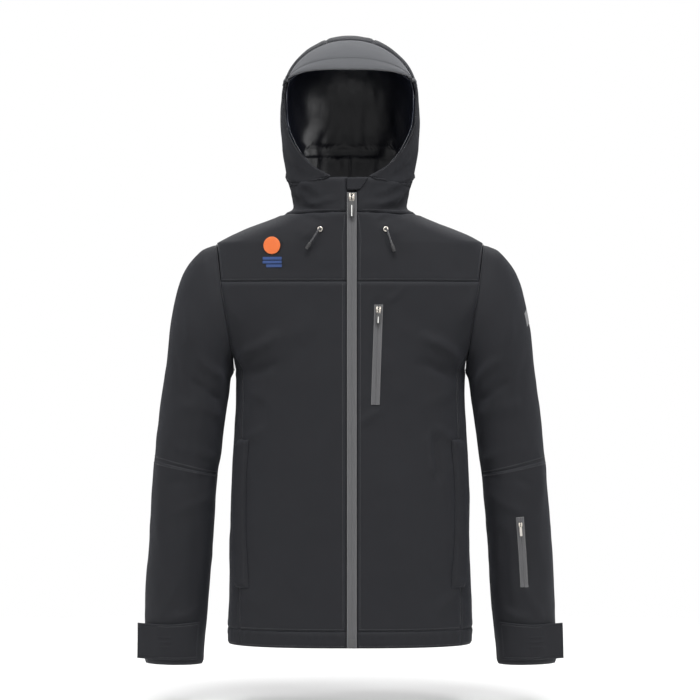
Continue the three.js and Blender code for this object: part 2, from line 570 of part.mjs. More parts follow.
// The forearm's pass pocket has its zip along the front of the left sleeve.
const ARM_ZIP_T = [7.02, 8.44];
const armZip = (u, v) => sleevePoint(1, lerp(0.228, 0.266, u), lerp(ARM_ZIP_T[0], ARM_ZIP_T[1], v));
add("arm_zip_tape", sheet(armZip, 2, 6, -1.4, -0.4, 1), "zip");
const armTop = armZip(0.5, 0.11);
const armFoot = armZip(0.5, 0.9);
const armUp = armTop.clone().sub(armFoot).normalize();
const armPlace = frameAt(armTop.clone().add(new THREE.Vector3(0, -1.9, 0)), armUp, Y_OUT);
add("arm_slider", slider(armPlace, 0.6), "metal");
add("arm_puller", puller(armPlace, 0.6, 32, 7), "plastic");

// ---- inside ----
const LINING_LEVELS = [-284, -345, -420, -500, -580, -660, -706];
add("torso_lining", bodyPanel(1, (z) => -1.3, (z) => Math.PI + 1.3, LINING_LEVELS, 24, LINING_DEPTH, LINING_DEPTH + LINING), "lining");
const SKIRT_LEVELS = [-560, -600, -640, -680];
add("powder_skirt", bodyPanel(1, (z) => -1.36, (z) => Math.PI + 1.36, SKIRT_LEVELS, 24, 20, 22), "lining");

class Route extends THREE.Curve {
  constructor(points) {
    super();
    this.inner = new THREE.CatmullRomCurve3(points.map((p) => new THREE.Vector3(...p)));
  }
  getPoint(t, target) {
    return this.inner.getPoint(t, target);
  }
}
function cordAlong(points, r, steps) {
  const shape = new THREE.Shape(circle(r, 8).map(([x, y]) => new THREE.Vector2(x, y)));
  return new THREE.ExtrudeGeometry(shape, { steps, bevelEnabled: false, extrudePath: new Route(points) });
}
add("hanger_loop", cordAlong([[-32, 77, 12], [-30, 74, 2], [-14, 71, -8], [14, 71, -8], [30, 74, 2], [32, 77, 12]], 2, 16), "cord");

// ---- hood cord tails: each comes out of an eyelet and ends in a moulded cord end ----
const CORD_R = 1.4;
const TAILS = { left: [[61, -30], [72, -56]], right: [[-51, -30], [-68, -53]] };
for (const [name] of sides) {
  const [[x, z], [endX, endZ]] = TAILS[name];
  const face = frontPoint(x, z);
  const end = frontPoint(endX, endZ);
  const out = new THREE.Vector3(face.x * 0.5, face.y, 12).normalize();
  const place = frameAt(face.clone().addScaledVector(out, 1.6), Z, out);
  add(`eyelet_${name}`, extrude(circle(4.6, 16), 1.4, [circle(CORD_R + 0.5, 12)]).applyMatrix4(facing).applyMatrix4(place), "metal");
  const start = face.clone().addScaledVector(out, 1.2);
  const bend = face.clone().addScaledVector(out, 7).lerp(end, 0.12);
  const low = end.clone().add(new THREE.Vector3(0, -7.5, 0));
  const route = [start, face.clone().addScaledVector(out, 5), bend.add(new THREE.Vector3(0, -2.4, 0)), low];
  add(`hood_cord_${name}`, cordAlong(route.map((p) => p.toArray()), CORD_R, 14), "cord");
  const along = low.clone().sub(route[2]).normalize();
  const stop = extrude(circle(3.1, 12), 13);
  stop.applyMatrix4(new THREE.Matrix4().lookAt(along, new THREE.Vector3(), Z));
  stop.translate(...low.clone().addScaledVector(along, 0.4).toArray());
  add(`cord_end_${name}`, stop, "plastic");
}

// ---- badge and reflective tab ----
const badgeAt = frontPoint(-134, -58);
const badgeOut = normalAt((u, v) => frontPoint(-134 + 20 * (u - 0.5), -58 - 20 * (v - 0.5)), 0.5, 0.5, -1);
const badgePlace = frameAt(badgeAt.clone().addScaledVector(badgeOut, 2.4), Z, badgeOut);
add("chest_badge", extrude(circle(15, 24), 1.2).applyMatrix4(facing).applyMatrix4(badgePlace), "badge");
const armTab = (u, v) => sleevePoint(1, lerp(0.03, 0.075, u), lerp(2.75, 3.05, v));
add("sleeve_reflector", sheet(armTab, 3, 2, -1.2, -0.4, 1), "reflective");
export default group;
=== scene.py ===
# %% [markdown]
# # A ski jacket, panel by panel
# The jacket hangs as if worn. Every panel of cloth is a surface worked out from two parameters,
# cut from the same body, sleeve and hood shapes as the CAD frame, then given wrinkles and thickness.
# This way was chosen over sculpting because each seam stays exactly where the pattern puts it.

# %% Load the frame
import bpy
import numpy as np
from mathutils import Matrix, Vector


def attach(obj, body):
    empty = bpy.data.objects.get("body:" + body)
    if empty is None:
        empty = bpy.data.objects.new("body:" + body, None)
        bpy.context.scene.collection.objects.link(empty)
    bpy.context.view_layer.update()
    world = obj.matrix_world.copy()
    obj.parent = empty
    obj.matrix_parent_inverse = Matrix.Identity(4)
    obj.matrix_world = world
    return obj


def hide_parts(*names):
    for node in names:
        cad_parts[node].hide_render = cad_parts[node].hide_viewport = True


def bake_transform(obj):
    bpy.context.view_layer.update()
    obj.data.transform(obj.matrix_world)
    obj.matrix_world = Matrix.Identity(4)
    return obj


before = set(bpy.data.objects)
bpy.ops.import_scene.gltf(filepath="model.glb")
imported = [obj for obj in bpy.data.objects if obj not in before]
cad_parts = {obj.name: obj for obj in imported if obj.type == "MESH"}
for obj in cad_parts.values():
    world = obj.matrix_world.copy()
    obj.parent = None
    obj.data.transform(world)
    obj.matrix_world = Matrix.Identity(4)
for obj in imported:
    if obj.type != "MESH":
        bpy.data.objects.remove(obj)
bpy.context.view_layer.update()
print(len(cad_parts), "nodes loaded")

# %% [markdown]
# ## Camera
# The jacket is looked at squarely from the front with a long lens, from six metres away,
# so that both sleeves keep their width and nothing near the lens is swollen.

# %% Place the camera
FIELD_M = 1.225  # width of the view at the middle of the jacket
DISTANCE_M = 6.0
camera = bpy.data.objects.new("camera", bpy.data.cameras.new("camera"))
bpy.context.collection.objects.link(camera)
camera.location = (0, -DISTANCE_M, -0.238)
camera.rotation_euler = (np.pi / 2, 0, 0)
camera.data.sensor_width = 36
camera.data.lens = 36 * DISTANCE_M / FIELD_M
bpy.context.scene.camera = camera
print("lens", round(camera.data.lens, 1), "mm")

# %% [markdown]
# ## Floor and light
# A pale round floor lies below the jacket and fades out towards its edge into white air, so no line shows.
# The white is only for what the lens sees; the light that the air gives is dimmer.
# Large area lamps work like softboxes: one above the front, one at each side, and one behind for the edges.

# %% Floor, air and lamps
FLOOR_Z, FLOOR_R = -0.86, 2.4  # height and radius of the floor, in metres
ring, spoke = np.meshgrid(np.linspace(0.02, 1, 12), np.linspace(0, 2 * np.pi, 64, endpoint=False), indexing="ij")
floor_points = np.stack([FLOOR_R * ring * np.cos(spoke), FLOOR_R * ring * np.sin(spoke), 0 * ring + FLOOR_Z], -1)
floor_faces = [(i * 64 + j, (i + 1) * 64 + j, (i + 1) * 64 + (j + 1) % 64, i * 64 + (j + 1) % 64)
               for i in range(11) for j in range(64)]
floor_faces.append(tuple(range(64)))
mesh = bpy.data.meshes.new("studio floor")
mesh.from_pydata(floor_points.reshape(-1, 3).tolist(), [], floor_faces)
paper = bpy.data.materials.new("studio paper")
paper.use_nodes = True
tree = paper.node_tree
surface = tree.nodes["Principled BSDF"]
surface.inputs["Base Color"].default_value, surface.inputs["Roughness"].default_value = (0.9, 0.9, 0.9, 1), 0.9
far = tree.nodes.new("ShaderNodeVectorMath")
far.operation = "LENGTH"
tree.links.new(tree.nodes.new("ShaderNodeTexCoord").outputs["Object"], far.inputs[0])
fade = tree.nodes.new("ShaderNodeMapRange")
fade.interpolation_type = "SMOOTHSTEP"
for socket, value in zip(("From Min", "From Max", "To Min", "To Max"), (1.2, 2.35, 1.0, 0.0)):
    fade.inputs[socket].default_value = value
tree.links.new(far.outputs["Value"], fade.inputs["Value"])
tree.links.new(fade.outputs["Result"], surface.inputs["Alpha"])
mesh.materials.append(paper)
floor = bpy.data.objects.new("studio floor", mesh)
bpy.context.collection.objects.link(floor)


def softbox(name, place, aim, wide, high, watts):
    """A rectangular area lamp at a place, aimed at a point."""
    lamp = bpy.data.lights.new(name, "AREA")
    lamp.shape, lamp.size, lamp.size_y, lamp.energy = "RECTANGLE", wide, high, watts
    obj = bpy.data.objects.new(name, lamp)
    bpy.context.collection.objects.link(obj)
    obj.location = place
    obj.rotation_euler = (Vector(aim) - Vector(place)).to_track_quat("-Z", "Y").to_euler()
    return obj


softbox("overhead softbox", (0, -1.6, 2.6), (0, 0, -0.1), 2.0, 1.2, 150)
softbox("left softbox", (3.0, -2.2, 0.9), (0, 0, -0.2), 1.2, 2.0, 62)
softbox("right softbox", (-3.2, -1.6, 0.7), (0, 0, -0.2), 1.0, 2.0, 46)
softbox("back softbox", (0, 2.2, 2.2), (0, 0, 0), 2.6, 1.0, 60)
world = bpy.data.worlds.new("studio air")
world.use_nodes = True
world.node_tree.nodes["Background"].inputs["Color"].default_value = (1, 1, 1, 1)
seen = world.node_tree.nodes.new("ShaderNodeLightPath").outputs["Is Camera Ray"]
dim = world.node_tree.nodes.new("ShaderNodeMath")
dim.operation = "MULTIPLY_ADD"
dim.inputs[1].default_value, dim.inputs[2].default_value = 0.58, 0.42
world.node_tree.links.new(seen, dim.inputs[0])
world.node_tree.links.new(dim.outputs[0], world.node_tree.nodes["Background"].inputs["Strength"])
bpy.context.scene.world = world
bpy.context.scene.view_settings.view_transform = "Standard"

# %% [markdown]
# ## The body's shape
# The torso and hood are stacked rings. Each ring is a superellipse: a rounded box whose squareness,
# width and depth change with height. Short tables hold the sizes in millimetres, and a smooth curve
# runs through each table, so the jacket has no flat steps.

# %% Smooth tables
def smooth(rows, z):
    """Value at z of the curve through rows of (z, value), highest z first: a cubic on each stretch whose
    end slopes are those of the chord between the two neighbouring rows."""
    rows = np.asarray(rows, float)
    key, val = -rows[:, 0], rows[:, 1]
    n = len(key)
    lo, hi = np.maximum(np.arange(n) - 1, 0), np.minimum(np.arange(n) + 1, n - 1)
    slope = (val[hi] - val[lo]) / (key[hi] - key[lo])
    q = -np.asarray(z, float)
    i = np.clip(np.searchsorted(key, q, side="right") - 1, 0, n - 2)
    h = key[i + 1] - key[i]
    t = np.clip((q - key[i]) / h, 0, 1)
    return (val[i] * (2 * t**3 - 3 * t**2 + 1) + slope[i] * h * (t**3 - 2 * t**2 + t)
            + val[i + 1] * (3 * t**2 - 2 * t**3) + slope[i + 1] * h * (t**3 - t**2))


def along_row(values, t):
    """Value at share t of a list of evenly spaced values, on the same smooth curve."""
    rows = [(-i, v) for i, v in enumerate(values)]
    return smooth(rows, -np.asarray(t, float) * (len(values) - 1))


HEM_Z, HEM_SEAM_Z, CROWN_Z, DOME_Z = -749, -721, 311, 200
WIDTH = [(200, 119.5), (180, 121), (149, 121.5), (112, 118), (52, 107), (20, 102), (9, 102), (2, 113),
         (-9, 136), (-17.5, 157), (-30, 187), (-41, 211), (-52, 232)]
LOWER_WIDTH = [(-273, 201), (-331, 200.5), (-375, 203), (-434, 206), (-500, 208), (-640, 211), (-721, 214),
               (-749, 213)]
BACK = [(200, 116), (149, 118), (112, 112), (52, 97), (9, 88), (-20, 100), (-52, 116), (-150, 128),
        (-273, 130), (-500, 129), (-749, 138)]
HOOD_FRONT = [(200, 108), (149, 106), (100, 103), (60, 100.6)]
SQUARE = [(311, 2.1), (60, 2.3), (0, 2.05), (-60, 2.2), (-273, 2.4), (-749, 2.5)]
ARMHOLE_X = [(-52, 232), (-90, 227), (-130, 222), (-180, 214), (-230, 207), (-273, 201)]
ARM_MID, ARM_HALF, ARM_DEPTH = -162.5, 110.5, 72
YOKE_Z = ARM_MID + ARM_HALF * np.cos(3 * np.pi / 8)
SIDE_Z = ARM_MID + ARM_HALF * np.cos(6 * np.pi / 8)


def dome(z):
    """Share of the full width left at height z of the half ellipsoid over the head."""
    return np.sqrt(np.maximum(1 - (np.maximum(z - DOME_Z, 0) / (CROWN_Z - DOME_Z)) ** 2, 0))


def front_depth(z):
    """Depth from the middle to the front: a straight lean below the chin, a table above it, and the dome on top."""
    z = np.asarray(z, float)
    return np.where(z > DOME_Z, 108 * dome(z), np.where(z > 60, smooth(HOOD_FRONT, z), 103 - 0.04 * z))


def back_depth(z):
    """Depth from the middle to the back, from its table and the dome."""
    z = np.asarray(z, float)
    return np.where(z > DOME_Z, 116 * dome(z), smooth(BACK, z))


def square(z):
    """Exponent of the ring at height z: 2 is an ellipse, and more is boxier."""
    return smooth(SQUARE, z)


def side_depth(z):
    """Half the depth of the armhole at height z, as a circle's chord, or of the side panel below it."""
    z = np.asarray(z, float)
    s = np.clip(np.abs(z - ARM_MID) / ARM_HALF, 0, 1)
    return np.where(z <= SIDE_Z, smooth([(SIDE_Z, 50.91), (-397, 58), (HEM_SEAM_Z, 75)], z),
                    ARM_DEPTH * np.sqrt(1 - s * s))


def half_width(z):
    """Half the width of the ring: a table, widened beside the armhole so that the armhole's edge lies on it."""
    z = np.asarray(z, float)
    s = np.clip((z - ARM_MID) / ARM_HALF, -1, 1)
    n = square(z)
    share = np.clip(ARM_DEPTH * np.sqrt(1 - s * s) / np.maximum(front_depth(z), 1), 0, 0.95)
    beside = smooth(ARMHOLE_X, z) / (1 - share**n) ** (1 / n)
    table = np.where(z >= -52, smooth(WIDTH, z), np.where(z <= -273, smooth(LOWER_WIDTH, z), beside))
    return np.where(z > DOME_Z, 119.5 * dome(z), table)


def skin(angle, z):
    """Point of the body at an angle and height: the ring's half width times a power of the cosine, and its
    depth times the same power of the sine. -90 degrees is the front."""
    n = 2 / square(z)
    c, s = np.cos(angle), np.sin(angle)
    depth = np.where(s < 0, front_depth(z), back_depth(z))
    return np.stack([half_width(z) * np.sign(c) * np.abs(c) ** n, depth * np.sign(s) * np.abs(s) ** n,
                     np.broadcast_to(np.asarray(z, float), np.shape(c * s * z))], -1)


def angle_at_x(x, z):
    """Angle, up from the side, at which the ring's x is the given one."""
    return np.arccos(np.clip(np.abs(x) / half_width(z), 0, 1) ** (square(z) / 2))


def front_edge(z):
    """Angle of the armhole's or side seam's front edge."""
    return -np.arcsin(np.clip(side_depth(z) / front_depth(z), 0, 1) ** (square(z) / 2))


def front_point(x, z):
    """Point of the front at x and z: the ring's depth there, forwards."""
    x, z = np.broadcast_arrays(np.asarray(x, float), np.asarray(z, float))
    n = square(z)
    share = np.clip(np.abs(x) / half_width(z), 0, 1) ** n
    return np.stack([x, -front_depth(z) * (1 - share) ** (1 / n), z], -1)


print("half width at the hem", float(half_width(-749)), "mm; at the chest", round(float(half_width(-160)), 1), "mm")

# %% [markdown]
# ## The hood's shape
# A hood is sewn from arcs that run from the middle seam over the head to the edge of the face opening.
# Here each arc is a curve of directions seen from the middle of the head, and each direction is carried
# outwards until it meets the hood's rings.

# %% Hood surface
HEART = np.array([0.0, 0.0, 130.0])
RIM_X = [113, 113.3, 114, 115, 104, 71, 33]
RIM_Z = [229, 225.5, 218, 180, 128, 86, 62]
COLLAR_ANGLE = [-1.27, -0.6, 0.1, 0.65, 1.1]
SPINE_Y = [-100, -60, 10, 86, 117, 108, 88]
SPINE_Z = [117, 168, 181, 130, 40, -50, -106]
CHIN_AT, VISOR_V, STRIP_U = 0.66, 0.2, 0.3  # the chin, the visor seam and the middle strip, in v, v and u


def fold_z(y):
    """Height of the plane where the hood folds off the collar: a straight slope from chin to nape."""
    return 60 + (22 - 60) * (np.asarray(y, float) + 100) / 190


def hood_hit(direction):
    """Point where a line from the middle of the head meets the hood: the distance is halved in on, forty times."""
    near, far = np.zeros(direction.shape[:-1]), np.full(direction.shape[:-1], 260.0)
    for _ in range(40):
        t = (near + far) / 2
        p = HEART + direction * t[..., None]
        z = np.minimum(p[..., 2], CROWN_Z - 0.02)
        n = square(z)
        depth = np.where(p[..., 1] < 0, front_depth(z), back_depth(z))
        f = (np.abs(p[..., 0]) / half_width(z)) ** n + (np.abs(p[..., 1]) / depth) ** n - 1
        inside = (f < 0) & (p[..., 2] < CROWN_Z - 0.01)
        near, far = np.where(inside, t, near), np.where(inside, far, t)
    return HEART + direction * near[..., None]


def unit(p):
    """Each vector divided by its length."""
    return p / np.maximum(np.linalg.norm(p, axis=-1, keepdims=True), 1e-9)


def rim(v):
    """The hood's edge: down the face opening to the chin, then back along the fold to the nape."""
    v = np.asarray(v, float)
    face = front_point(along_row(RIM_X, np.clip(v / CHIN_AT, 0, 1)), along_row(RIM_Z, np.clip(v / CHIN_AT, 0, 1)))
    angle = along_row(COLLAR_ANGLE, np.clip((v - CHIN_AT) / (1 - CHIN_AT), 0, 1))
    z = np.full(v.shape, 22.0)
    for _ in range(20):
        z = fold_z(skin(angle, z)[..., 1])
    return np.where((v < CHIN_AT)[..., None], face, skin(angle, z))


def hood(u, v):
    """Hood point: u is 0 on the middle seam and 1 or -1 on the edge, v runs from the visor's front to the nape.
    The direction is a curve of second degree from the seam to the edge, which leaves the seam squarely."""
    u, v = np.broadcast_arrays(np.asarray(u, float), np.asarray(v, float))
    spine = np.stack([0 * v, along_row(SPINE_Y, v), along_row(SPINE_Z, v)], -1)
    top, edge, t = hood_hit(unit(spine)) - HEART, rim(v) - HEART, np.abs(u)[..., None]
    direction = top * (1 - t * t) + edge * t * t
    direction[..., 0] += (2 * t * (1 - t) * 0.62)[..., 0] * edge[..., 0]
    p = hood_hit(unit(direction))
    p[..., 0] *= np.where(u < 0, -1, 1)
    return p


# %% [markdown]
# ## The sleeves' shape
# Each sleeve is a row of oval rings, given by the outer and inner ends of each ring seen from the front
# and by half its depth. The first ring is the armhole itself.

# %% Sleeve surface
RINGS = np.array([
    (232, -52, 201, -273, 72), (262, -67, 207, -288, 77), (293, -110, 211, -318, 79), (312, -185, 216, -350, 78),
    (322, -264, 221, -385, 74), (333, -345, 226, -425, 70), (342, -430, 231, -455, 66), (349, -520, 237, -532, 62),
    (355, -610, 243, -614, 58), (358, -695, 249, -697, 54), (360, -784, 255.5, -786, 51)], float)
ELBOW, LAST = 6, 10


def sleeve(side, around, t):
    """Sleeve point: the ring at t, at a share of the way around it from the outer side through the front."""
    around, t = np.broadcast_arrays(np.asarray(around, float), np.asarray(t, float))
    ox, oz, ix, iz, depth = (along_row(RINGS[:, k], np.clip(t / LAST, 0, 1)) for k in range(5))
    c, s = np.cos(2 * np.pi * around), np.sin(2 * np.pi * around)
    x, y, z = (ox + ix) / 2 + (ox - ix) / 2 * c, -depth * s, (oz + iz) / 2 + (oz - iz) / 2 * c
    near = np.clip(1 - t, 0, 1) ** 2
    y = y * np.where(s < 0, 1 + (back_depth(z) / front_depth(z) - 1) * near, 1)
    x = x + (smooth(ARMHOLE_X, np.clip(z, -273, -52)) - x) * near
    return np.stack([side * x, y, z], -1)


print("hood crown", np.round(hood(0.0, 0.3), 1), "left cuff", np.round(sleeve(1, 0.0, 10.0), 1))

# %% [markdown]
# ## Wrinkles
# Worn cloth has three sizes of unevenness: slow swells, soft folds that run from where the cloth is pulled,
# and small crumples. The first and last are smooth noise; the folds are listed one by one, each as a segment
# with a width and a height, so they run where a sleeve hangs or a pocket pulls.

# %% Noise and folds
def lattice(i, j, k, seed):
    """A repeatable value from -1 to 1 for each whole-number point: the fraction of a large sine."""
    h = np.sin(i * 127.1 + j * 311.7 + k * 74.7 + seed * 53.3) * 43758.5453
    return 2 * (h - np.floor(h)) - 1


def noise(p, size, seed=0):
    """Smooth noise from -1 to 1 whose bumps are about size millimetres: eight lattice values blended."""
    q = p / size
    i = np.floor(q)
    f = q - i
    f = f * f * (3 - 2 * f)
    total = 0
    for dx in (0, 1):
        for dy in (0, 1):
            for dz in (0, 1):
                w = (f[..., 0] if dx else 1 - f[..., 0]) * (f[..., 1] if dy else 1 - f[..., 1])
                w = w * (f[..., 2] if dz else 1 - f[..., 2])
                total = total + w * lattice(i[..., 0] + dx, i[..., 1] + dy, i[..., 2] + dz, seed)
    return total


def folds(p, rows):
    """Sum of soft ridges. Each row is two ends in x, y and z, a width and a height in millimetres: the height
    times a bell curve of the distance to the segment, fading over the last fifth of its length."""
    total = np.zeros(p.shape[:-1])
    for a, b, wide, high in rows:
        a, b = np.array(a, float), np.array(b, float)
        d = b - a
        t = ((p - a) @ d) / (d @ d)
        wave = 0.12 * np.sin(7 * t + a[0]) * np.linalg.norm(d)
        near = p - a - np.clip(t, 0, 1)[..., None] * d
        near = near + unit(np.cross(d, [0, 1, 0.2])) * (0.2 * wave)[..., None]
        fade = np.clip(np.minimum(t + 0.15, 1.15 - t) / 0.35, 0, 1)
        total = total + high * fade * np.exp(-(near**2).sum(-1) / wide**2)
    return total


def both(rows):
    """The same folds on the other side too, a little smaller."""
    return rows + [((-a[0], a[1], a[2]), (-b[0], b[1], b[2]), w, 0.8 * h) for a, b, w, h in rows]


BODY_FOLDS = both([
    ((205, -60, -262), (128, -105, -212), 10, 3.2), ((203, -60, -285), (120, -108, -262), 9, -2.6),
    ((202, -60, -300), (140, -108, -330), 11, 2.0), ((222, -55, -120), (190, -80, -190), 12, 2.0),
    ((186, -70, -395), (150, -100, -372), 9, 2.2), ((190, -70, -640), (150, -100, -690), 11, 2.0),
    ((170, -90, -420), (172, -90, -600), 16, 1.6), ((60, -118, -420), (95, -116, -680), 30, 1.4),
    ((110, -98, -14), (62, -104, -48), 8, 1.6), ((104, -60, 4), (50, -102, -16), 7, -1.8),
    ((190, 60, -270), (100, 120, -220), 14, 3.0), ((195, 60, -300), (90, 125, -300), 12, -2.5),
    ((120, 110, -60), (60, 118, -140), 18, 1.8), ((90, 130, -420), (130, 128, -640), 26, 2.2),
]) + [((150, -98, -380), (153, -100, -462), 8, -3.4), ((139, -100, -384), (141, -102, -452), 7, 1.6),
      ((52, -116, -336), (6, -118, -372), 9, 1.3), ((96, -108, -128), (66, -110, -156), 6, 1.2),
      ((-60, -108, -180), (-150, -95, -250), 22, 1.4), ((30, -112, -150), (70, -110, -300), 9, 0.9)]
HOOD_FOLDS = both([
    ((104, -50, 40), (48, -98, 8), 7, 2.4), ((103, -40, 26), (40, -100, -4), 6, -2.2),
    ((100, -62, 64), (52, -98, 30), 8, 2.0), ((109, -40, 96), (78, -84, 52), 8, -1.8),
    ((112, -20, 120), (104, -30, 40), 10, 2.2), ((113, 10, 150), (100, 20, 30), 12, -2.2),
    ((70, 90, 180), (88, 76, 60), 14, 2.4), ((100, 60, 220), (60, 100, 90), 14, -2.0),
]) + [((-96, -52, 12), (-30, -101, 20), 6, 1.8), ((90, -60, 20), (26, -101, 12), 6, 1.7)]


def sleeve_folds(side):
    """Folds of a hanging sleeve: fans from the armpit, rings at the inner elbow and creases over the cuff."""
    rows = [((208, -55, -300), (262, -78, -250), 9, 2.8), ((212, -50, -330), (272, -76, -296), 8, -2.6),
            ((216, -45, -352), (290, -70, -330), 10, 2.2), ((228, -40, -428), (300, -64, -404), 9, 2.0),
            ((232, -40, -452), (310, -62, -470), 8, -2.0), ((236, -36, -486), (300, -62, -520), 9, 1.8),
            ((300, -78, -130), (262, -78, -240), 14, 2.4), ((318, -60, -240), (290, -74, -330), 12, -1.8),
            ((330, -40, -420), (322, -48, -600), 14, 1.8), ((262, -54, -560), (270, -52, -700), 12, -1.8),
            ((300, -58, -640), (330, -44, -704), 8, 1.6), ((262, -46, -690), (310, -54, -704), 6, 1.5),
            ((300, 70, -200), (240, 74, -330), 14, 2.8), ((320, 50, -430), (240, 60, -470), 12, 2.6),
            ((330, 40, -500), (250, 56, -440), 12, -2.4), ((340, 30, -640), (262, 50, -600), 12, 2.0)]
    share = 1 if side > 0 else 0.85
    return [((side * a[0], a[1], a[2]), (side * b[0], b[1], b[2]), w, h * share) for a, b, w, h in rows]


TORSO_FOLDS = BODY_FOLDS + HOOD_FOLDS
CALM = [((3, -102, 33), (3, -133, -749), 15), ((49.3, -108.4, -160), (43.3, -115.1, -332), 13),
        ((-134.9, -93.5, -57.7), (-134.9, -93, -58.7), 26), ((61, -96, -30), (72, -100, -56), 10),
        ((-51, -98, -30), (-68, -99, -53), 10), ((295.2, -61.3, -541), (301.5, -56.8, -637), 13),
        ((200, -52, -410), (204, -54, -626), 9), ((-200, -52, -410), (-204, -54, -626), 9)]


def calm(p):
    """Share of the wrinkles left: near zips, eyelets and the badge the stiff parts hold the cloth flat."""
    left = np.ones(p.shape[:-1])
    for a, b, wide in CALM:
        a, d = np.array(a, float), np.array(b, float) - np.array(a, float)
        t = np.clip(((p - a) @ d) / (d @ d), 0, 1)
        left = left * (1 - 0.92 * np.exp(-(((p - a - t[..., None] * d) ** 2).sum(-1) / wide**2) ** 2))
    return left


def cloth(p, rows, crumple=1.0):
    """Height of the wrinkles at each point: folds, slow swells and small crumples, calmed near stiff parts."""
    small = noise(p, 26, 2) * 0.55 + noise(p * [1, 1, 0.7], 12, 3) * 0.18
    return calm(p) * (1.9 * folds(p, rows) + noise(p, 95, 1) * 2.0 + crumple * 1.25 * small)


print(len(TORSO_FOLDS), "torso and hood folds")

# %% [markdown]
# ## Making cloth
# A grid of points becomes a mesh with faces between neighbours, a UV map in metres along the cloth,
# so that the weave keeps its real size, and a Solidify modifier for its thickness, inwards.
# Near each sewn edge the cloth dips: the seam pulls it in, and the padding beside it rolls up.

# %% Panel maker
materials = {}
made = []


def object_from(name, verts, faces, material, body, uv=None, smooth_shade=True):
    """One mesh object from millimetre points and faces, with its material, body and finish slot."""
    mesh = bpy.data.meshes.new(name)
    mesh.from_pydata((np.asarray(verts) / 1000).tolist(), [], [tuple(f) for f in np.asarray(faces).tolist()]
                     if isinstance(faces, np.ndarray) else faces)
    mesh.polygons.foreach_set("use_smooth", np.full(len(mesh.polygons), smooth_shade))
    if uv is not None:
        layer = mesh.uv_layers.new(name="cloth")
        loops = np.empty(len(mesh.loops), np.int32)
        mesh.loops.foreach_get("vertex_index", loops)
        layer.data.foreach_set("uv", (np.asarray(uv)[loops] / 1000).ravel().astype(np.float32))
    mesh.update()
    obj = bpy.data.objects.new(name, mesh)
    bpy.context.collection.objects.link(obj)
    mesh.materials.append(materials[material])
    if body:
        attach(obj, body)
    made.append(obj)
    return obj


def grid_faces(nu, nv, wrap=False):
    """Faces between neighbouring points of an nu by nv grid, joined end to end when wrapped."""
    i, j = np.meshgrid(np.arange(nu if wrap else nu - 1), np.arange(nv - 1), indexing="ij")
    a, b = i * nv + j, ((i + 1) % nu) * nv + j
    return np.stack([a, b, b + 1, a + 1], -1).reshape(-1, 4)


def normals_of(p, wrap, heart):
    """Unit normal of each grid point, from its neighbours' differences, turned away from the heart points."""
    du = (np.roll(p, -1, 0) - np.roll(p, 1, 0)) if wrap else np.gradient(p, axis=0)
    n = unit(np.cross(du, np.gradient(p, axis=1)))
    return n * (1 if np.sum(n * (p - heart)) > 0 else -1)


def lengths(p):
    """Distance run along the grid in both directions, in millimetres, which is the cloth's own UV."""
    u = np.concatenate([np.zeros((1, p.shape[1])), np.cumsum(np.linalg.norm(np.diff(p, axis=0), axis=-1), 0)])
    v = np.concatenate([np.zeros((p.shape[0], 1)), np.cumsum(np.linalg.norm(np.diff(p, axis=1), axis=-1), 1)], 1)
    return u, v


def panel(name, surface, nu, nv, heart, rows, body="torso", material="shell", thick=2.6,
          seams=(1, 1, 1, 1), wrap=False, inset=0.0, crumple=1.0, dip=1.3, node=None, shape=None, radial=False):
    """A cloth panel: the surface, moved along its normals by the wrinkles, less a dip at each sewn edge
    (start and end of u, start and end of v), then thickened inwards."""
    u = np.linspace(0, 1, nu, endpoint=not wrap)[:, None]
    v = np.linspace(0, 1, nv)[None, :]
    p = surface(u, v)
    centre = np.broadcast_to(heart(p) if callable(heart) else heart, p.shape)
    n = unit(p - centre) if radial else normals_of(p, wrap, centre)
    run_u, run_v = lengths(p)
    edge = np.full(p.shape[:2], 99.0)
    for on, d in zip(seams, (run_u, run_u[-1:] - run_u, run_v, run_v[:, -1:] - run_v)):
        if on:
            edge = np.minimum(edge, d)
    dipped = dip * np.exp(-(edge / 2.6) ** 2) - 0.35 * dip * np.exp(-((edge - 8) / 5) ** 2)
    high = cloth(p, rows, crumple) - dipped - inset
    if shape is not None:
        high = high + shape(u, v, p)
    p = p + n * high[..., None]
    faces = grid_faces(*p.shape[:2], wrap)
    a, b, d = (p.reshape(-1, 3)[faces[:, k]] for k in (0, 1, 3))
    flip = np.sum(np.cross(b - a, d - a) * n.reshape(-1, 3)[faces[:, 0]]) < 0
    obj = object_from(name + "_cloth", p.reshape(-1, 3), faces[:, ::-1] if flip else faces, material, body,
                      np.stack([run_u, run_v], -1).reshape(-1, 2))
    solid = obj.modifiers.new("thickness", "SOLIDIFY")
    solid.thickness, solid.offset = thick / 1000, -1
    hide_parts(node or name)
    return obj


def declare_sheet(obj):
    """Reads the panel's cloth UV into an array; nothing more is done with it."""
    uv = np.empty(len(obj.data.loops) * 2, np.float32)
    obj.data.uv_layers[0].data.foreach_get("uv", uv)


def axis_heart(p):
    """The jacket's own axis at each point's height."""
    return np.stack([0 * p[..., 0], 0 * p[..., 0], p[..., 2]], -1)


print("panel maker ready")

# %% [markdown]
# ## Shader groups
# Three effects are used by several cloths, so each is a node group with named inputs: the weave's tiny
# bumps, the slow change of shade that handling leaves, and the pale wear and dust on raised folds.

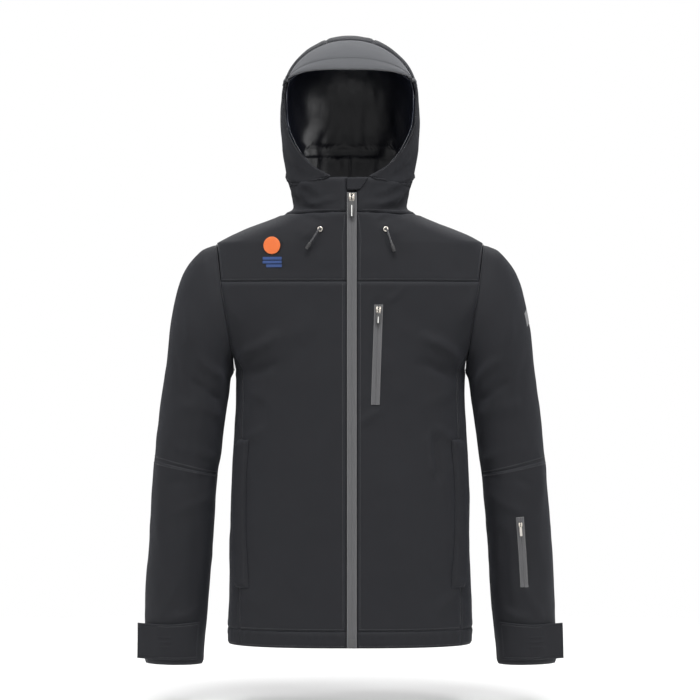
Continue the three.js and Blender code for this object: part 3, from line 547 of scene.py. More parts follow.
# %% Weave, shade and wear groups
def group(name, inputs, outputs):
    """A new shader node group with float or colour sockets, and its input and output nodes."""
    g = bpy.data.node_groups.new(name, "ShaderNodeTree")
    for label, kind, value in inputs:
        s = g.interface.new_socket(label, in_out="INPUT", socket_type=kind)
        if value is not None:
            s.default_value = value
    for label, kind in outputs:
        g.interface.new_socket(label, in_out="OUTPUT", socket_type=kind)
    return g, g.nodes.new("NodeGroupInput"), g.nodes.new("NodeGroupOutput")


FLOAT, COLOUR, VECTOR = "NodeSocketFloat", "NodeSocketColor", "NodeSocketVector"


def math(tree, kind, a, b=None, c=None, clamp=False):
    """A Math node; each argument is a socket or a number."""
    n = tree.nodes.new("ShaderNodeMath")
    n.operation, n.use_clamp = kind, clamp
    for slot, v in zip(n.inputs, (a, b, c)):
        if isinstance(v, bpy.types.NodeSocket):
            tree.links.new(v, slot)
        elif v is not None:
            slot.default_value = v
    return n.outputs[0]


def noise_node(tree, coords, scale, detail=2.0, rough=0.5):
    """A Noise Texture's value, about 0.5 on average."""
    n = tree.nodes.new("ShaderNodeTexNoise")
    n.inputs["Scale"].default_value, n.inputs["Detail"].default_value = scale, detail
    n.inputs["Roughness"].default_value = rough
    tree.links.new(coords, n.inputs["Vector"])
    return n.outputs["Fac"]


def mix_colour(tree, fac, a, b):
    """A colour mix by a socket or number."""
    n = tree.nodes.new("ShaderNodeMix")
    n.data_type = "RGBA"
    for slot, v in ((n.inputs[0], fac), (n.inputs[6], a), (n.inputs[7], b)):
        if isinstance(v, bpy.types.NodeSocket):
            tree.links.new(v, slot)
        else:
            slot.default_value = v
    return n.outputs[2]


weave_group, gin, gout = group("plain weave", [("Cloth UV", VECTOR, None), ("Threads per metre", FLOAT, 1400.0)],
                               [("Height", FLOAT)])
split = weave_group.nodes.new("ShaderNodeSeparateXYZ")
weave_group.links.new(gin.outputs["Cloth UV"], split.inputs[0])
warp, weft = (math(weave_group, "SINE", math(weave_group, "MULTIPLY",
              math(weave_group, "MULTIPLY", split.outputs[k], gin.outputs["Threads per metre"]), 6.2832))
              for k in (0, 1))
crossing = math(weave_group, "MULTIPLY", warp, weft)
weave_group.links.new(math(weave_group, "ADD", crossing, warp), gout.inputs["Height"])

shade_group, gin, gout = group("handling shade", [("Coordinates", VECTOR, None), ("Base", COLOUR, (0, 0, 0, 1)),
                               ("Pale", COLOUR, (0, 0, 0, 1)), ("Amount", FLOAT, 0.5)],
                               [("Colour", COLOUR), ("Mask", FLOAT)])
slow = noise_node(shade_group, gin.outputs["Coordinates"], 9, 3, 0.55)
quick = noise_node(shade_group, gin.outputs["Coordinates"], 170, 2, 0.6)
mask = math(shade_group, "MULTIPLY", math(shade_group, "ADD", slow, math(shade_group, "MULTIPLY", quick, 0.4)),
            gin.outputs["Amount"], clamp=True)
shade_group.links.new(mix_colour(shade_group, mask, gin.outputs["Base"], gin.outputs["Pale"]), gout.inputs["Colour"])
shade_group.links.new(mask, gout.inputs["Mask"])

wear_group, gin, gout = group("wear and lint", [("Coordinates", VECTOR, None), ("Colour", COLOUR, (0, 0, 0, 1)),
                              ("Worn", COLOUR, (0.1, 0.1, 0.1, 1)), ("Amount", FLOAT, 0.5)], [("Colour", COLOUR)])
edge = wear_group.nodes.new("ShaderNodeNewGeometry").outputs["Pointiness"]
raised = math(wear_group, "MULTIPLY", math(wear_group, "SUBTRACT", edge, 0.51), 9.0, clamp=True)
specks = math(wear_group, "MULTIPLY", math(wear_group, "SUBTRACT", noise_node(wear_group, gin.outputs["Coordinates"],
              620, 1, 0.5), 0.70), 5.0, clamp=True)
worn = math(wear_group, "MULTIPLY", math(wear_group, "ADD", raised, math(wear_group, "MULTIPLY", specks, 0.5)),
            gin.outputs["Amount"], clamp=True)
wear_group.links.new(mix_colour(wear_group, worn, gin.outputs["Colour"], gin.outputs["Worn"]), gout.inputs["Colour"])
print("groups:", [g.name for g in bpy.data.node_groups])

# %% [markdown]
# ## Cloth and hard finishes
# The shell is a matt brushed polyester: almost black with a trace of blue, a rough surface and a soft sheen
# at grazing angles from its fine nap. The lining is a shiny woven nylon. The zips, metal, plastic, cord and
# print each get their own finish, and the groups only choose colour, roughness and tiny bumps.
# The visor is the shell's dark cloth painted paler: a painted highlight where the overhead light falls on the top of
# the hood.

# %% Materials
def new_material(name, base, pale, rough, **shader):
    """A material on the Principled shader with handling shade and wear; cloth also gets a weave and a nap."""
    threads, bump, uv = shader.pop("threads", 0), shader.pop("bump", 0.25), shader.pop("uv", True)
    wear, worn, amount = shader.pop("wear", 0.4), shader.pop("worn", None), shader.pop("amount", 0.6)
    m = bpy.data.materials.new(name)
    m.use_nodes = True
    t = m.node_tree
    bsdf = t.nodes["Principled BSDF"]
    coords = t.nodes.new("ShaderNodeTexCoord")
    shade = t.nodes.new("ShaderNodeGroup")
    shade.node_tree = shade_group
    t.links.new(coords.outputs["Object"], shade.inputs["Coordinates"])
    shade.inputs["Base"].default_value, shade.inputs["Pale"].default_value = (*base, 1), (*pale, 1)
    shade.inputs["Amount"].default_value = amount
    old = t.nodes.new("ShaderNodeGroup")
    old.node_tree = wear_group
    t.links.new(coords.outputs["Object"], old.inputs["Coordinates"])
    t.links.new(shade.outputs["Colour"], old.inputs["Colour"])
    old.inputs["Worn"].default_value = (*(worn or [3 * c for c in pale]), 1)
    old.inputs["Amount"].default_value = wear
    t.links.new(old.outputs["Colour"], bsdf.inputs["Base Color"])
    t.links.new(math(t, "MULTIPLY_ADD", shade.outputs["Mask"], 0.16, rough - 0.06), bsdf.inputs["Roughness"])
    height = noise_node(t, coords.outputs["Object"], 900, 2, 0.6)
    if threads:
        weave = t.nodes.new("ShaderNodeGroup")
        weave.node_tree = weave_group
        t.links.new(coords.outputs["UV"], weave.inputs["Cloth UV"])
        weave.inputs["Threads per metre"].default_value = threads
        height = math(t, "MULTIPLY_ADD", weave.outputs["Height"], 0.22, height)
    b = t.nodes.new("ShaderNodeBump")
    b.inputs["Strength"].default_value, b.inputs["Distance"].default_value = bump, 0.0006
    t.links.new(height, b.inputs["Height"])
    t.links.new(b.outputs["Normal"], bsdf.inputs["Normal"])
    for key, value in shader.items():
        bsdf.inputs[key.replace("_", " ").title().replace("Ior", "IOR")].default_value = value
    materials[name] = m
    return m


new_material("shell", (0.0050, 0.0053, 0.0070), (0.0090, 0.0095, 0.0120), 0.72, threads=900, bump=0.5, wear=0.3,
             worn=(0.026, 0.027, 0.031), sheen_weight=0.05, sheen_roughness=0.5, sheen_tint=(0.6, 0.63, 0.75, 1),
             specular_ior_level=0.22)
# Visor: the shell's dark cloth painted about ten times lighter in base, pale and worn colours, a painted highlight
# for the overhead light on the hood's upper face.
new_material("visor", (0.052, 0.054, 0.058), (0.078, 0.080, 0.086), 0.86, threads=1100, bump=0.6, wear=0.25,
             worn=(0.16, 0.16, 0.165), sheen_weight=0.25, sheen_roughness=0.5, sheen_tint=(0.8, 0.8, 0.85, 1),
             specular_ior_level=0.25)
new_material("lining", (0.0048, 0.0055, 0.0100), (0.0085, 0.0098, 0.0170), 0.34, threads=1600, bump=0.12, wear=0.1,
             worn=(0.03, 0.033, 0.045), sheen_weight=0.15, sheen_roughness=0.3, sheen_tint=(0.5, 0.6, 0.9, 1),
             specular_ior_level=0.62)
new_material("zip tape", (0.050, 0.050, 0.053), (0.080, 0.080, 0.084), 0.7, threads=1500, bump=0.5, wear=0.5,
             worn=(0.2, 0.2, 0.2), sheen_weight=0.2, sheen_roughness=0.4)
new_material("slider metal", (0.62, 0.57, 0.50), (0.72, 0.67, 0.60), 0.30, bump=0.08, wear=0.7,
             worn=(0.9, 0.86, 0.8), metallic=1.0)
new_material("black plastic", (0.010, 0.010, 0.011), (0.018, 0.018, 0.019), 0.42, bump=0.1, wear=0.6,
             worn=(0.09, 0.09, 0.09), specular_ior_level=0.5)
new_material("white inlay", (0.62, 0.62, 0.60), (0.72, 0.72, 0.70), 0.5, bump=0.05, wear=0.1, worn=(0.8, 0.8, 0.78))
new_material("cord", (0.014, 0.014, 0.017), (0.030, 0.030, 0.034), 0.75, threads=2200, bump=0.8, wear=0.3,
             sheen_weight=0.3, sheen_roughness=0.5)
new_material("thread", (0.017, 0.018, 0.022), (0.030, 0.031, 0.037), 0.55, bump=0.1, wear=0.5,
             worn=(0.08, 0.08, 0.09), sheen_weight=0.3, sheen_roughness=0.4)
new_material("badge orange", (0.50, 0.095, 0.012), (0.56, 0.12, 0.02), 0.62, threads=2600, bump=0.5, wear=0.2,
             worn=(0.8, 0.4, 0.2))
new_material("badge blue", (0.007, 0.026, 0.11), (0.012, 0.04, 0.14), 0.58, threads=2600, bump=0.4, wear=0.2,
             worn=(0.1, 0.2, 0.4))
new_material("reflective", (0.16, 0.16, 0.17), (0.22, 0.22, 0.23), 0.42, bump=0.2, wear=0.3, worn=(0.5, 0.5, 0.5),
             metallic=0.4)
print(len(materials), "materials")

# %% [markdown]
# ## Torso panels
# The front, yoke, side, back and hem panels share the body's surface, so each is a range of angles and
# heights on it. Each is cut at the same seams as the pattern, and rows of stitching come later.

# %% Torso panels
ZIP_X, ZIP_HALF = 3.0, 7.8  # the zip's centre line and half its width


def zip_edge(wide):
    """Angle of the zip's edge at each height: wide is the distance from the middle in millimetres."""
    return lambda z: -angle_at_x(wide, z)


def body_strip(side, start, end, top, foot):
    """A strip of the body between two edge angles, given as functions of z, mirrored for the right side."""
    def surface(u, v):
        """The strip's point at u from its first edge to its second and v from its top to its foot."""
        z = top + (foot - top) * v
        a = start(z) + (end(z) - start(z)) * u
        p = skin(a, np.broadcast_to(z, np.broadcast(a, z).shape))
        p[..., 0] *= side
        return p
    return surface


def back_strip(top, foot, from_front=False):
    """A strip right round the back between the two side seams."""
    def surface(u, v):
        """The strip's point at u round the back and v from its top to its foot."""
        z = top + (foot - top) * v
        e = front_edge(z) if from_front else -front_edge(z)
        a = e + (np.pi - 2 * e) * u
        return skin(a, np.broadcast_to(z, np.broadcast(a, z).shape))
    return surface


def side_surface(side):
    """The side panel under the arm: u runs across it, and its top follows the foot of the armhole."""
    def surface(u, v):
        """The panel's point at u across it and v from the foot of the armhole down to the hem seam."""
        w = 2 * u - 1
        y = np.abs(w) * 50.91
        top = ARM_MID - ARM_HALF * np.sqrt(1 - (y / ARM_DEPTH) ** 2)
        z = top + (HEM_SEAM_Z - top) * v
        part = np.clip(np.abs(w) * side_depth(np.minimum(z, SIDE_Z)) / front_depth(z), 0, 1)
        a = np.sign(w) * np.arcsin(part ** (square(z) / 2))
        p = skin(a, z)
        p[..., 0] *= side
        return p
    return surface


def hem_gather(u, v, p):
    """The hem band's drawcord gathers it: short upright ripples that fade towards its lower edge."""
    a = np.arctan2(p[..., 1], p[..., 0])
    return 0.5 * np.sin(a * 61 + 3 * np.sin(a * 9)) * np.cos(v * np.pi / 2)


sewn = []
for name, side in (("left", 1), ("right", -1)):
    edge = zip_edge(ZIP_HALF + side * ZIP_X)  # the zip lies a little to the left of the middle
    sewn += [
        panel(f"chest_yoke_{name}", body_strip(side, edge, front_edge, -0.5, YOKE_Z), 56, 36, axis_heart,
              TORSO_FOLDS),
        panel(f"front_panel_{name}", body_strip(side, edge, front_edge, YOKE_Z, HEM_SEAM_Z), 64, 150, axis_heart,
              TORSO_FOLDS),
        panel(f"hem_band_{name}", body_strip(side, edge, front_edge, HEM_SEAM_Z, HEM_Z), 64, 12, axis_heart,
              TORSO_FOLDS, crumple=0.5, thick=4, shape=hem_gather),
        panel(f"side_panel_{name}", side_surface(side), 40, 110, axis_heart, TORSO_FOLDS),
    ]
sewn += [panel("back_yoke", back_strip(-0.5, YOKE_Z), 110, 36, axis_heart, TORSO_FOLDS),
         panel("back_panel", back_strip(YOKE_Z, HEM_SEAM_Z), 120, 150, axis_heart, TORSO_FOLDS),
         panel("hem_band_back", back_strip(HEM_SEAM_Z, HEM_Z, True), 150, 12, axis_heart, TORSO_FOLDS, crumple=0.5,
               thick=4, shape=hem_gather)]
print(len(sewn), "torso panels")

# %% [markdown]
# ## Collar, hood and visor
# The collar stands up to a sloping fold line, and the hood carries on from there as one surface. Where the
# hood folds back, the cloth bends.

# %% Collar and hood panels
def collar_surface(side):
    """The collar from the zip round to the middle of the nape, between the neck seam and the fold plane."""
    near = zip_edge(ZIP_HALF + side * ZIP_X)
    def surface(u, v):
        u, v = np.broadcast_arrays(u, v)
        top = np.full(u.shape, 40.0)
        for _ in range(12):
            z = top * (1 - v)
            a = near(z) + (np.pi / 2 - near(z)) * u
            top = fold_z(skin(near(top) + (np.pi / 2 - near(top)) * u, top)[..., 1])
        p = skin(a, z)
        p[..., 0] *= side
        return p
    return surface


def hood_part(u0, u1, v0, v1):
    """A range of the hood's own two parameters."""
    return lambda u, v: hood(u0 + (u1 - u0) * u, v0 + (v1 - v0) * v)


def hem_roll(u, v, p):
    """The visor's padded front edge swells where it turns over, and its crown is quilted by one line."""
    return 0.9 * np.exp(-((v - 0.10) / 0.09) ** 2) - 0.9 * np.exp(-((v - 0.30) / 0.04) ** 2)


hooded = []
for name, side in (("left", 1), ("right", -1)):
    sewn.append(panel(f"collar_{name}", collar_surface(side), 48, 18, axis_heart, TORSO_FOLDS))
    hooded.append(panel(f"hood_side_{name}", hood_part(side * STRIP_U, side, VISOR_V, 1), 56, 90, HEART, TORSO_FOLDS,
                        body=None))
hooded.append(panel("hood_center_panel", hood_part(-STRIP_U, STRIP_U, VISOR_V, 1), 40, 90, HEART, TORSO_FOLDS,
                    body=None))
# The visor material carries painted highlight: the top of the hood is coloured lighter for the light that falls on
# it.
hooded.append(panel("hood_visor", hood_part(-1, 1, 0, VISOR_V), 150, 26, HEART, TORSO_FOLDS, body=None,
                    material="visor", thick=3.6, crumple=0.4, seams=(0, 0, 1, 1), dip=0.8,
                    shape=hem_roll))
for obj in hooded:
    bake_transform(obj)
print(len(hooded), "hood panels")

# %% [markdown]
# ## Sleeves
# Each sleeve is a tube between the armhole ring and the cuff, in an upper and a lower piece that meet at the
# elbow. Its first part follows the shoulder.

# %% Sleeve panels
def tube(side, t0, t1):
    """A stretch of sleeve: u runs around it from the inner side, so that the seam is out of sight."""
    return lambda u, v: sleeve(side, 0.5 + u, t0 + (t1 - t0) * v)


def sleeve_heart(p):
    """The sleeve's middle line: the mean of the ring's points."""
    return p.mean(axis=0, keepdims=True)


def cuff_tuck(u, v, p):
    """The cuff's elastic draws in the last centimetres, with short upright gathers."""
    t = np.clip((v - 0.9) / 0.1, 0, 1)
    return -1.2 * t * t + 0.35 * t * np.sin(u * 2 * np.pi * 40)


for name, side in (("left", 1), ("right", -1)):
    rows = sleeve_folds(side)
    upper = panel(f"sleeve_upper_{name}", tube(side, 0.13, ELBOW), 96, 90, sleeve_heart, rows, body=None, wrap=True,
                  seams=(0, 0, 1, 0))
    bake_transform(upper)
    lower = panel(f"sleeve_lower_{name}", tube(side, ELBOW, LAST), 96, 72, sleeve_heart, rows, body=None, wrap=True,
                  seams=(0, 0, 0, 1), shape=cuff_tuck)
    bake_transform(lower)
    sewn += [upper, lower]
print("sleeves made")

# %% [markdown]
# ## Zips
# A hidden-coil zip is two taped strips whose folded edges meet over the coil. The strip is a narrow panel
# on the same surface: a groove down its middle, a rounded shoulder on each side, and slanting ribs where
# the coil presses through. The pocket zips are the same strip with a narrower shoulder.

# %% Zip strips
def coil(run, wide, half, pitch=1.5):
    """Height of a zip across its width: shoulders that round off at the edges, a groove in the middle, and
    ribs that slant to either side of the groove."""
    across = np.abs(wide) / half
    ribs = 0.16 * np.sin(2 * np.pi * (run + 0.9 * np.abs(wide)) / pitch)
    ribs = ribs * np.clip(1 - np.abs(across - 0.24) / 0.2, 0, 1)
    return 0.35 * (1 - across**6) - 1.1 * np.exp(-(across / 0.07) ** 2) + ribs


def zip_strip(name, surface, half, long, material="zip tape", rise=0.5, body="torso", rows=None,
              heart=axis_heart, steps=None, ribs=True, node=None):
    """A zip: its u runs across from one edge to the other, and its v runs down its length."""
    def shape(u, v, p):
        """The height of the tape over the cloth, with the coil along its middle."""
        return rise + (coil(v * long, (2 * u - 1) * half, half) if ribs else 0 * (u + v))
    return panel(name, surface, 17, steps or int(long / 1.0), heart, TORSO_FOLDS if rows is None else rows, body=body,
                 material=material, thick=1.1, seams=(0, 0, 0, 0), crumple=0.0, shape=shape, node=node)


def across_zip(x0, x1, top, foot):
    """A strip of the front between two distances from the middle, and two heights."""
    return lambda u, v: front_point(x0 + (x1 - x0) * u + 0 * v, top + (foot - top) * v + 0 * u)


zip_strip("main_zip_tape_left", across_zip(3, 11.4, 33, HEM_Z), 8.4, 782, ribs=False)
zip_strip("main_zip", across_zip(-5.2, 11.2, 33, HEM_Z), 8.2, 782, rise=0.9, node="main_zip_tape_right")
CHEST_TOP, CHEST_FOOT = np.array([49.3, -108.449, -160.0]), np.array([43.3, -115.1, -332.0])


def chest_surface(u, v):
    """The slanting chest zip: across it by u and down it by v, lying on the front."""
    x = CHEST_TOP[0] + (CHEST_FOOT[0] - CHEST_TOP[0]) * v + (2 * u - 1) * 7.4
    return front_point(x, CHEST_TOP[2] + (CHEST_FOOT[2] - CHEST_TOP[2]) * v + 0 * u)


zip_strip("chest_zip_tape", chest_surface, 7.4, 172, rise=0.7)


def pocket_strip(side, near, far, top, foot):
    """A strip along the front's side seam, bowed a little outwards, between two offsets in millimetres."""
    def surface(u, v):
        """The strip's point at u across it and v down it."""
        z = top + (foot - top) * v + 0 * u
        bow = 5 * np.sin(np.pi * v) - 6
        p = skin(front_edge(z) + (near + (far - near) * u + bow) / 110, z)
        p[..., 0] *= side
        return p
    return surface


def welt_shape(u, v, p):
    """The welt is a folded flap: it lifts off along its outer edge, rounds over at the fold, and is pressed
    flat by a stitched line along its inner edge and at both ends."""
    ends = np.clip(np.minimum(v, 1 - v) * 22, 0, 1) ** 0.5
    return 1.4 + ends * (3.0 + 3.4 * np.sin(np.pi * np.clip(u * 1.05, 0, 1) * 0.62)) * np.clip(u * 6, 0.15, 1)


for name, side in (("left", 1), ("right", -1)):
    zip_strip(f"hand_zip_tape_{name}", pocket_strip(side, -4, 10, -396, -646), 7, 250, rise=0.0)
    panel(f"hand_pocket_welt_{name}", pocket_strip(side, -13, 11, -393, -649), 22, 110, axis_heart, TORSO_FOLDS,
          thick=1.8, seams=(1, 0, 1, 1), crumple=0.6, dip=0.8, shape=welt_shape)


def arm_surface(u, v):
    """The forearm's small zip, across and along the sleeve."""
    return sleeve(1, 0.228 + 0.038 * u, 7.02 + 1.42 * v)


zip_strip("arm_zip_tape", arm_surface, 7.2, 128, body="forearm_left", rows=sleeve_folds(1),
          heart=np.array([277.0, 0, -570]), rise=0.7)
print("zips made")

# %% [markdown]
# ## Sliders and pullers
# A slider is a cast body under a bridge, and the puller hangs from the bridge. Each is an outline given a
# thickness and a bevelled rim, then placed by a frame: across, up the zip, and out of the cloth.

# %% Small hardware
def frame_at(place, up, out):
    """Four by four matrix whose columns are across, out of the cloth, and up the zip."""
    up = np.array(up, float) / np.linalg.norm(up)
    out = np.array(out, float) - np.dot(out, up) * up
    out /= np.linalg.norm(out)
    m = np.eye(4)
    m[:3, 0], m[:3, 1], m[:3, 2], m[:3, 3] = np.cross(up, -out), -out, up, place
    return m


def slab(outline, low, high, rim=0.5, rings=4):
    """Points and faces of an outline (across, up) between two heights out of the cloth, its rims rounded: each
    ring draws in by a quarter circle's sine."""
    pts = np.asarray(outline, float)
    n, centre = len(pts), pts.mean(0)
    turn = np.linspace(0, np.pi / 2, rings)
    levels = [(low + rim * (1 - np.cos(t)), rim * (1 - np.sin(t))) for t in turn] + \
             [(high - rim * (1 - np.cos(t)), rim * (1 - np.sin(t))) for t in turn[::-1]]
    verts = []
    for height, inward in levels:
        d = pts - centre
        ring = centre + d * (1 - inward / np.maximum(np.linalg.norm(d, axis=1, keepdims=True), 1e-6))
        verts.append(np.column_stack([ring[:, 0], np.full(n, -height), ring[:, 1]]))
    faces = [(k * n + i, k * n + (i + 1) % n, (k + 1) * n + (i + 1) % n, (k + 1) * n + i)
             for k in range(len(levels) - 1) for i in range(n)]
    faces += [tuple(range(n))[::-1], tuple(range((len(levels) - 1) * n, len(levels) * n))]
    return np.vstack(verts), faces


def merge(parts):
    """Several sets of points and faces as one."""
    verts, faces, start = [], [], 0
    for v, f in parts:
        verts.append(v)
        faces += [tuple(i + start for i in face) for face in f]
        start += len(v)
    return np.vstack(verts), faces


def round_box(x, z, r, n=6):
    """Outline of a rectangle with quarter circles at its corners."""
    out = []
    for cx, cz, a0 in ((x - r, z - r, 0), (-x + r, z - r, 1), (-x + r, -z + r, 2), (x - r, -z + r, 3)):
        t = (a0 + np.linspace(0, 1, n)) * np.pi / 2
        out += np.column_stack([cx + r * np.cos(t), cz + r * np.sin(t)]).tolist()
    return np.array(out)


def place_mesh(name, parts, matrix, scale, material, body, node=None):
    """Small parts made in the zip's own frame, carried to the jacket, with their faces turned outwards."""
    verts, faces = merge(parts)
    v = (matrix[:3, :3] @ (verts * scale).T).T + matrix[:3, 3]
    obj = object_from(name, v, faces, material, body)
    fix = bpy.data.meshes[obj.data.name]
    import bmesh
    bm = bmesh.new()
    bm.from_mesh(fix)
    bmesh.ops.recalc_face_normals(bm, faces=bm.faces)
    bm.to_mesh(fix)
    bm.free()
    fix.polygons.foreach_set("use_smooth", np.zeros(len(fix.polygons), bool))
    if node:
        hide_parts(node)
    return obj


print("hardware tools ready")

# %% Sliders and pullers
BODY_OUTLINE = [[-3.6, -7], [-1.8, -7.4], [1.8, -7.4], [3.6, -7], [5.0, -2], [5.4, 1], [5.4, 4.6], [4.6, 6.6],
                [1.6, 7], [0, 4.6], [-1.6, 7], [-4.6, 6.6], [-5.4, 4.6], [-5.4, 1], [-5.0, -2]]


def bridge_parts():
    """The bridge over the slider: two curved horns side by side, each an arch of round section."""
    parts = []
    t = np.linspace(0, np.pi, 15)
    a = np.linspace(0, 2 * np.pi, 10, endpoint=False)
    for x in (-2.6, 2.6):
        lean = x * (1 + 0.25 * np.cos(t))
        mid = np.column_stack([lean, -2.4 - 5.0 * np.sin(t), 5.2 * np.cos(t)])
        along = unit(np.gradient(mid, axis=0))
        side = np.cross(along, [1, 0, 0])
        ring = mid[:, None] + 1.05 * np.cos(a)[None, :, None] * np.array([1.0, 0, 0]) + \
            1.05 * np.sin(a)[None, :, None] * side[:, None]
        faces = [(k * 10 + i, k * 10 + (i + 1) % 10, (k + 1) * 10 + (i + 1) % 10, (k + 1) * 10 + i)
                 for k in range(14) for i in range(10)] + [tuple(range(10)), tuple(range(140, 150))[::-1]]
        parts.append((ring.reshape(-1, 3), faces))
    return parts


def rim_outline(long, wide):
    """Half-waisted outline of a puller's grip, narrow at its eye and rounded at its foot."""
    w = wide / 2
    t = np.linspace(0, np.pi / 2, 5)
    foot = np.column_stack([w - 1.8 + 1.8 * np.sin(t), -long + 1.8 - 1.8 * np.cos(t)])
    right = [[2.6, -1.4], [2.6, -6.2], [w, -10.4], *foot[::-1].tolist()]
    return np.array(right + [[-x, z] for x, z in right[::-1]])


def make_slider(name, matrix, k, long, wide, body, puller_body, grip="black plastic", stripe="white inlay"):
    """A slider on one body and its puller on another: the body with a dark middle and pale horns, and the
    puller with a wire eye and a grip that carries a plain inlaid stripe."""
    dark = [slab([[x * 0.52, z * 0.7] for x, z in BODY_OUTLINE], 3.0 + 0.4, 5.2, 0.4)]
    pale = [slab(BODY_OUTLINE, 0.4, 3.4, 0.6)] + bridge_parts()
    place_mesh(f"{name}_slider_body", pale, matrix, k, "slider metal", body, f"{name}_slider")
    place_mesh(f"{name}_slider_core", dark, matrix, k, "black plastic", body)
    out = 4.8 + 0.4
    frame_rails = [slab(round_box(0.75, 4.2, 0.5) + [x, -3.4], out - 0.75, out + 0.75, 0.35) for x in (-1.9, 1.9)]
    top_bar = [slab(round_box(2.4, 0.75, 0.6), out - 0.75, out + 0.75, 0.35)]
    place_mesh(f"{name}_puller_wire", frame_rails + top_bar, matrix, k, "slider metal", puller_body)
    plate = [[x, min(z, -6.4)] for x, z in rim_outline(long, wide)]  # the grip starts below the wire eye
    place_mesh(f"{name}_puller_grip", [slab(plate, out - 0.95, out + 1.15, 0.6)], matrix, k, grip, puller_body,
               f"{name}_puller")
    place_mesh(f"{name}_puller_stripe", [slab(round_box(0.75, (long - 17) / 2, 0.7) + [0, -(long + 9) / 2 - 1],
               out + 0.9, out + 1.35, 0.2)], matrix, k, stripe, puller_body)


main_frame = frame_at(front_point(np.array(3.0), np.array(25.0)) + [0, 0.3, 0], (0, 0.04, 1), (0, -1, 0))
make_slider("main", main_frame, 1.0, 36, 8.6, "main_slider", "main_puller")
chest_up = unit(CHEST_TOP - CHEST_FOOT)
make_slider("chest", frame_at(CHEST_TOP - 9 * chest_up, chest_up, (0, -1, 0)), 0.85, 30, 7.5, "chest_slider",
            "chest_puller")
print("sliders made")

ARM_TOP, ARM_FOOT = np.array([295.163, -61.284, -540.933]), np.array([301.509, -56.767, -636.996])
arm_frame = frame_at(ARM_TOP + [0, -1.9, 0], unit(ARM_TOP - ARM_FOOT), (0, -1, 0))
make_slider("arm", arm_frame, 0.6, 32, 7, "arm_slider", "arm_puller", grip="slider metal")
hand_outline = [[-3, -6], [3, -6], [3.6, 2], [2, 6], [-2, 6], [-3.6, 2]]
for name, side in (("left", 1), ("right", -1)):
    spots = [skin(front_edge(np.array(z)) - 2.2 / 110, np.array(z)) * [side, 1, 1] for z in (-410.0, -450.0)]
    out = unit(np.array([spots[0][0] * 0.75, spots[0][1], 0]))
    place_mesh(f"hand_slider_{name}_body", [slab(hand_outline, 0.4, 3.0, 0.5)],
               frame_at(spots[0] + 2.2 * out, spots[0] - spots[1], out), 1, "slider metal", f"hand_slider_{name}",
               f"hand_slider_{name}")
print("arm and hand sliders made")

# %% [markdown]
# ## Chin guard, cuff tabs and badge
# The chin guard is a curved flap over the top of the zip. A cuff tab is a stiff strap whose free end stands off
# the sleeve, stitched round its edge. The badge is a plain embroidered disc over printed bars, with threads
# that run across it.

# %% Flaps, tabs and marks
def guard_surface(u, v):
    """The flap over the zip's top: its free edge curves in towards the zip as it goes down."""
    z = 59 + (37.5 - 59) * v + 0 * u
    right = 12 + 19 * (np.maximum(z - 37.5, 0) / 22) ** 0.6
    return front_point(-5 + (right + 5) * u, z)


def flap_roll(u, v, p):
    """A flap stands off by its own thickness, and rounds down to its edges."""
    edge = np.minimum(np.minimum(u, 1 - u) * 14, np.minimum(v, 1 - v) * 10)
    return 1.7 + 1.6 * np.clip(edge, 0, 1) ** 0.5


panel("chin_guard", guard_surface, 30, 22, axis_heart, [], seams=(0, 0, 0, 0), crumple=0, thick=2.2, shape=flap_roll)


TAB_LONG, TAB_WIDE = 130, 66  # the cuff tab, along the wrist and across it


def tab_surface(side):
    """The cuff tab, wrapped round the sleeve's front from the inner side to the outer side, standing off at
    its free end by the square of the last third."""
    def surface(u, v):
        around = 0.39 + (0.055 - 0.39) * u
        t = 9.15 + 0.06 * np.minimum(2 * u, 1) + (9.9 - 9.15 - 0.06 * np.minimum(2 * u, 1)) * v
        return sleeve(side, around, t)
    return surface


def tab_shape(u, v, p):
    """Stand-off, a raised rim, a groove where it is stitched, and three plain moulded ribs in the middle."""
    du, dv = np.minimum(u, 1 - u) * TAB_LONG, np.minimum(v, 1 - v) * TAB_WIDE
    edge = np.minimum(du, dv)
    stand = 3.6 + 13 * np.maximum((u - 0.7) / 0.3, 0) ** 2
    middle = np.clip((u - 0.42) * 14, 0, 1) * np.clip((0.72 - u) * 14, 0, 1)
    ribs = sum(0.7 * np.exp(-(((v - 0.5) * TAB_WIDE - 9 * k) / 1.5) ** 2) for k in (-1, 0, 1)) * middle
    return stand - 0.8 * np.exp(-((edge - 4.2) / 0.9) ** 2) - 1.0 * np.exp(-(edge / 0.8) ** 2) + ribs


for name, side in (("left", 1), ("right", -1)):
    panel(f"cuff_tab_{name}", tab_surface(side), 90, 60, np.array([side * 306.0, 0, -740.0]), [], thick=2.6,
          seams=(0, 0, 0, 0), crumple=0.0, shape=tab_shape, body=None)
    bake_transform(made[-1])


def disc(name, centre, out, radius, high, material, node=None, dome=0.35):
    """An embroidered disc: rings from the middle to a rounded edge, with threads in rows across it."""
    r = np.concatenate([np.linspace(0.02, 0.94, 26), [0.975, 0.995, 1.0, 1.0]])[:, None] * radius
    drop = np.concatenate([np.zeros(26), [0.12, 0.35, 0.7, high]])[:, None]
    a = np.linspace(0, 2 * np.pi, 96, endpoint=False)[None, :]
    x, z = r * np.cos(a), r * np.sin(a)
    threads = 0.10 * np.sin(x * 2 * np.pi / 0.9 + 0.5 * np.sin(z * 0.9)) * (drop == 0)
    h = high + dome * (1 - (r / radius) ** 2) + threads - drop
    verts = np.stack([x, -np.maximum(h, 0.0), z], -1).reshape(-1, 3)
    faces = [(k * 96 + i, k * 96 + (i + 1) % 96, (k + 1) * 96 + (i + 1) % 96, (k + 1) * 96 + i)
             for k in range(29) for i in range(96)]
    faces += [tuple(range(96)), tuple(range(29 * 96, 30 * 96))[::-1]]
    return place_mesh(name, [(verts, faces)], frame_at(centre, (0, 0, 1), out), 1, material, "torso", node)


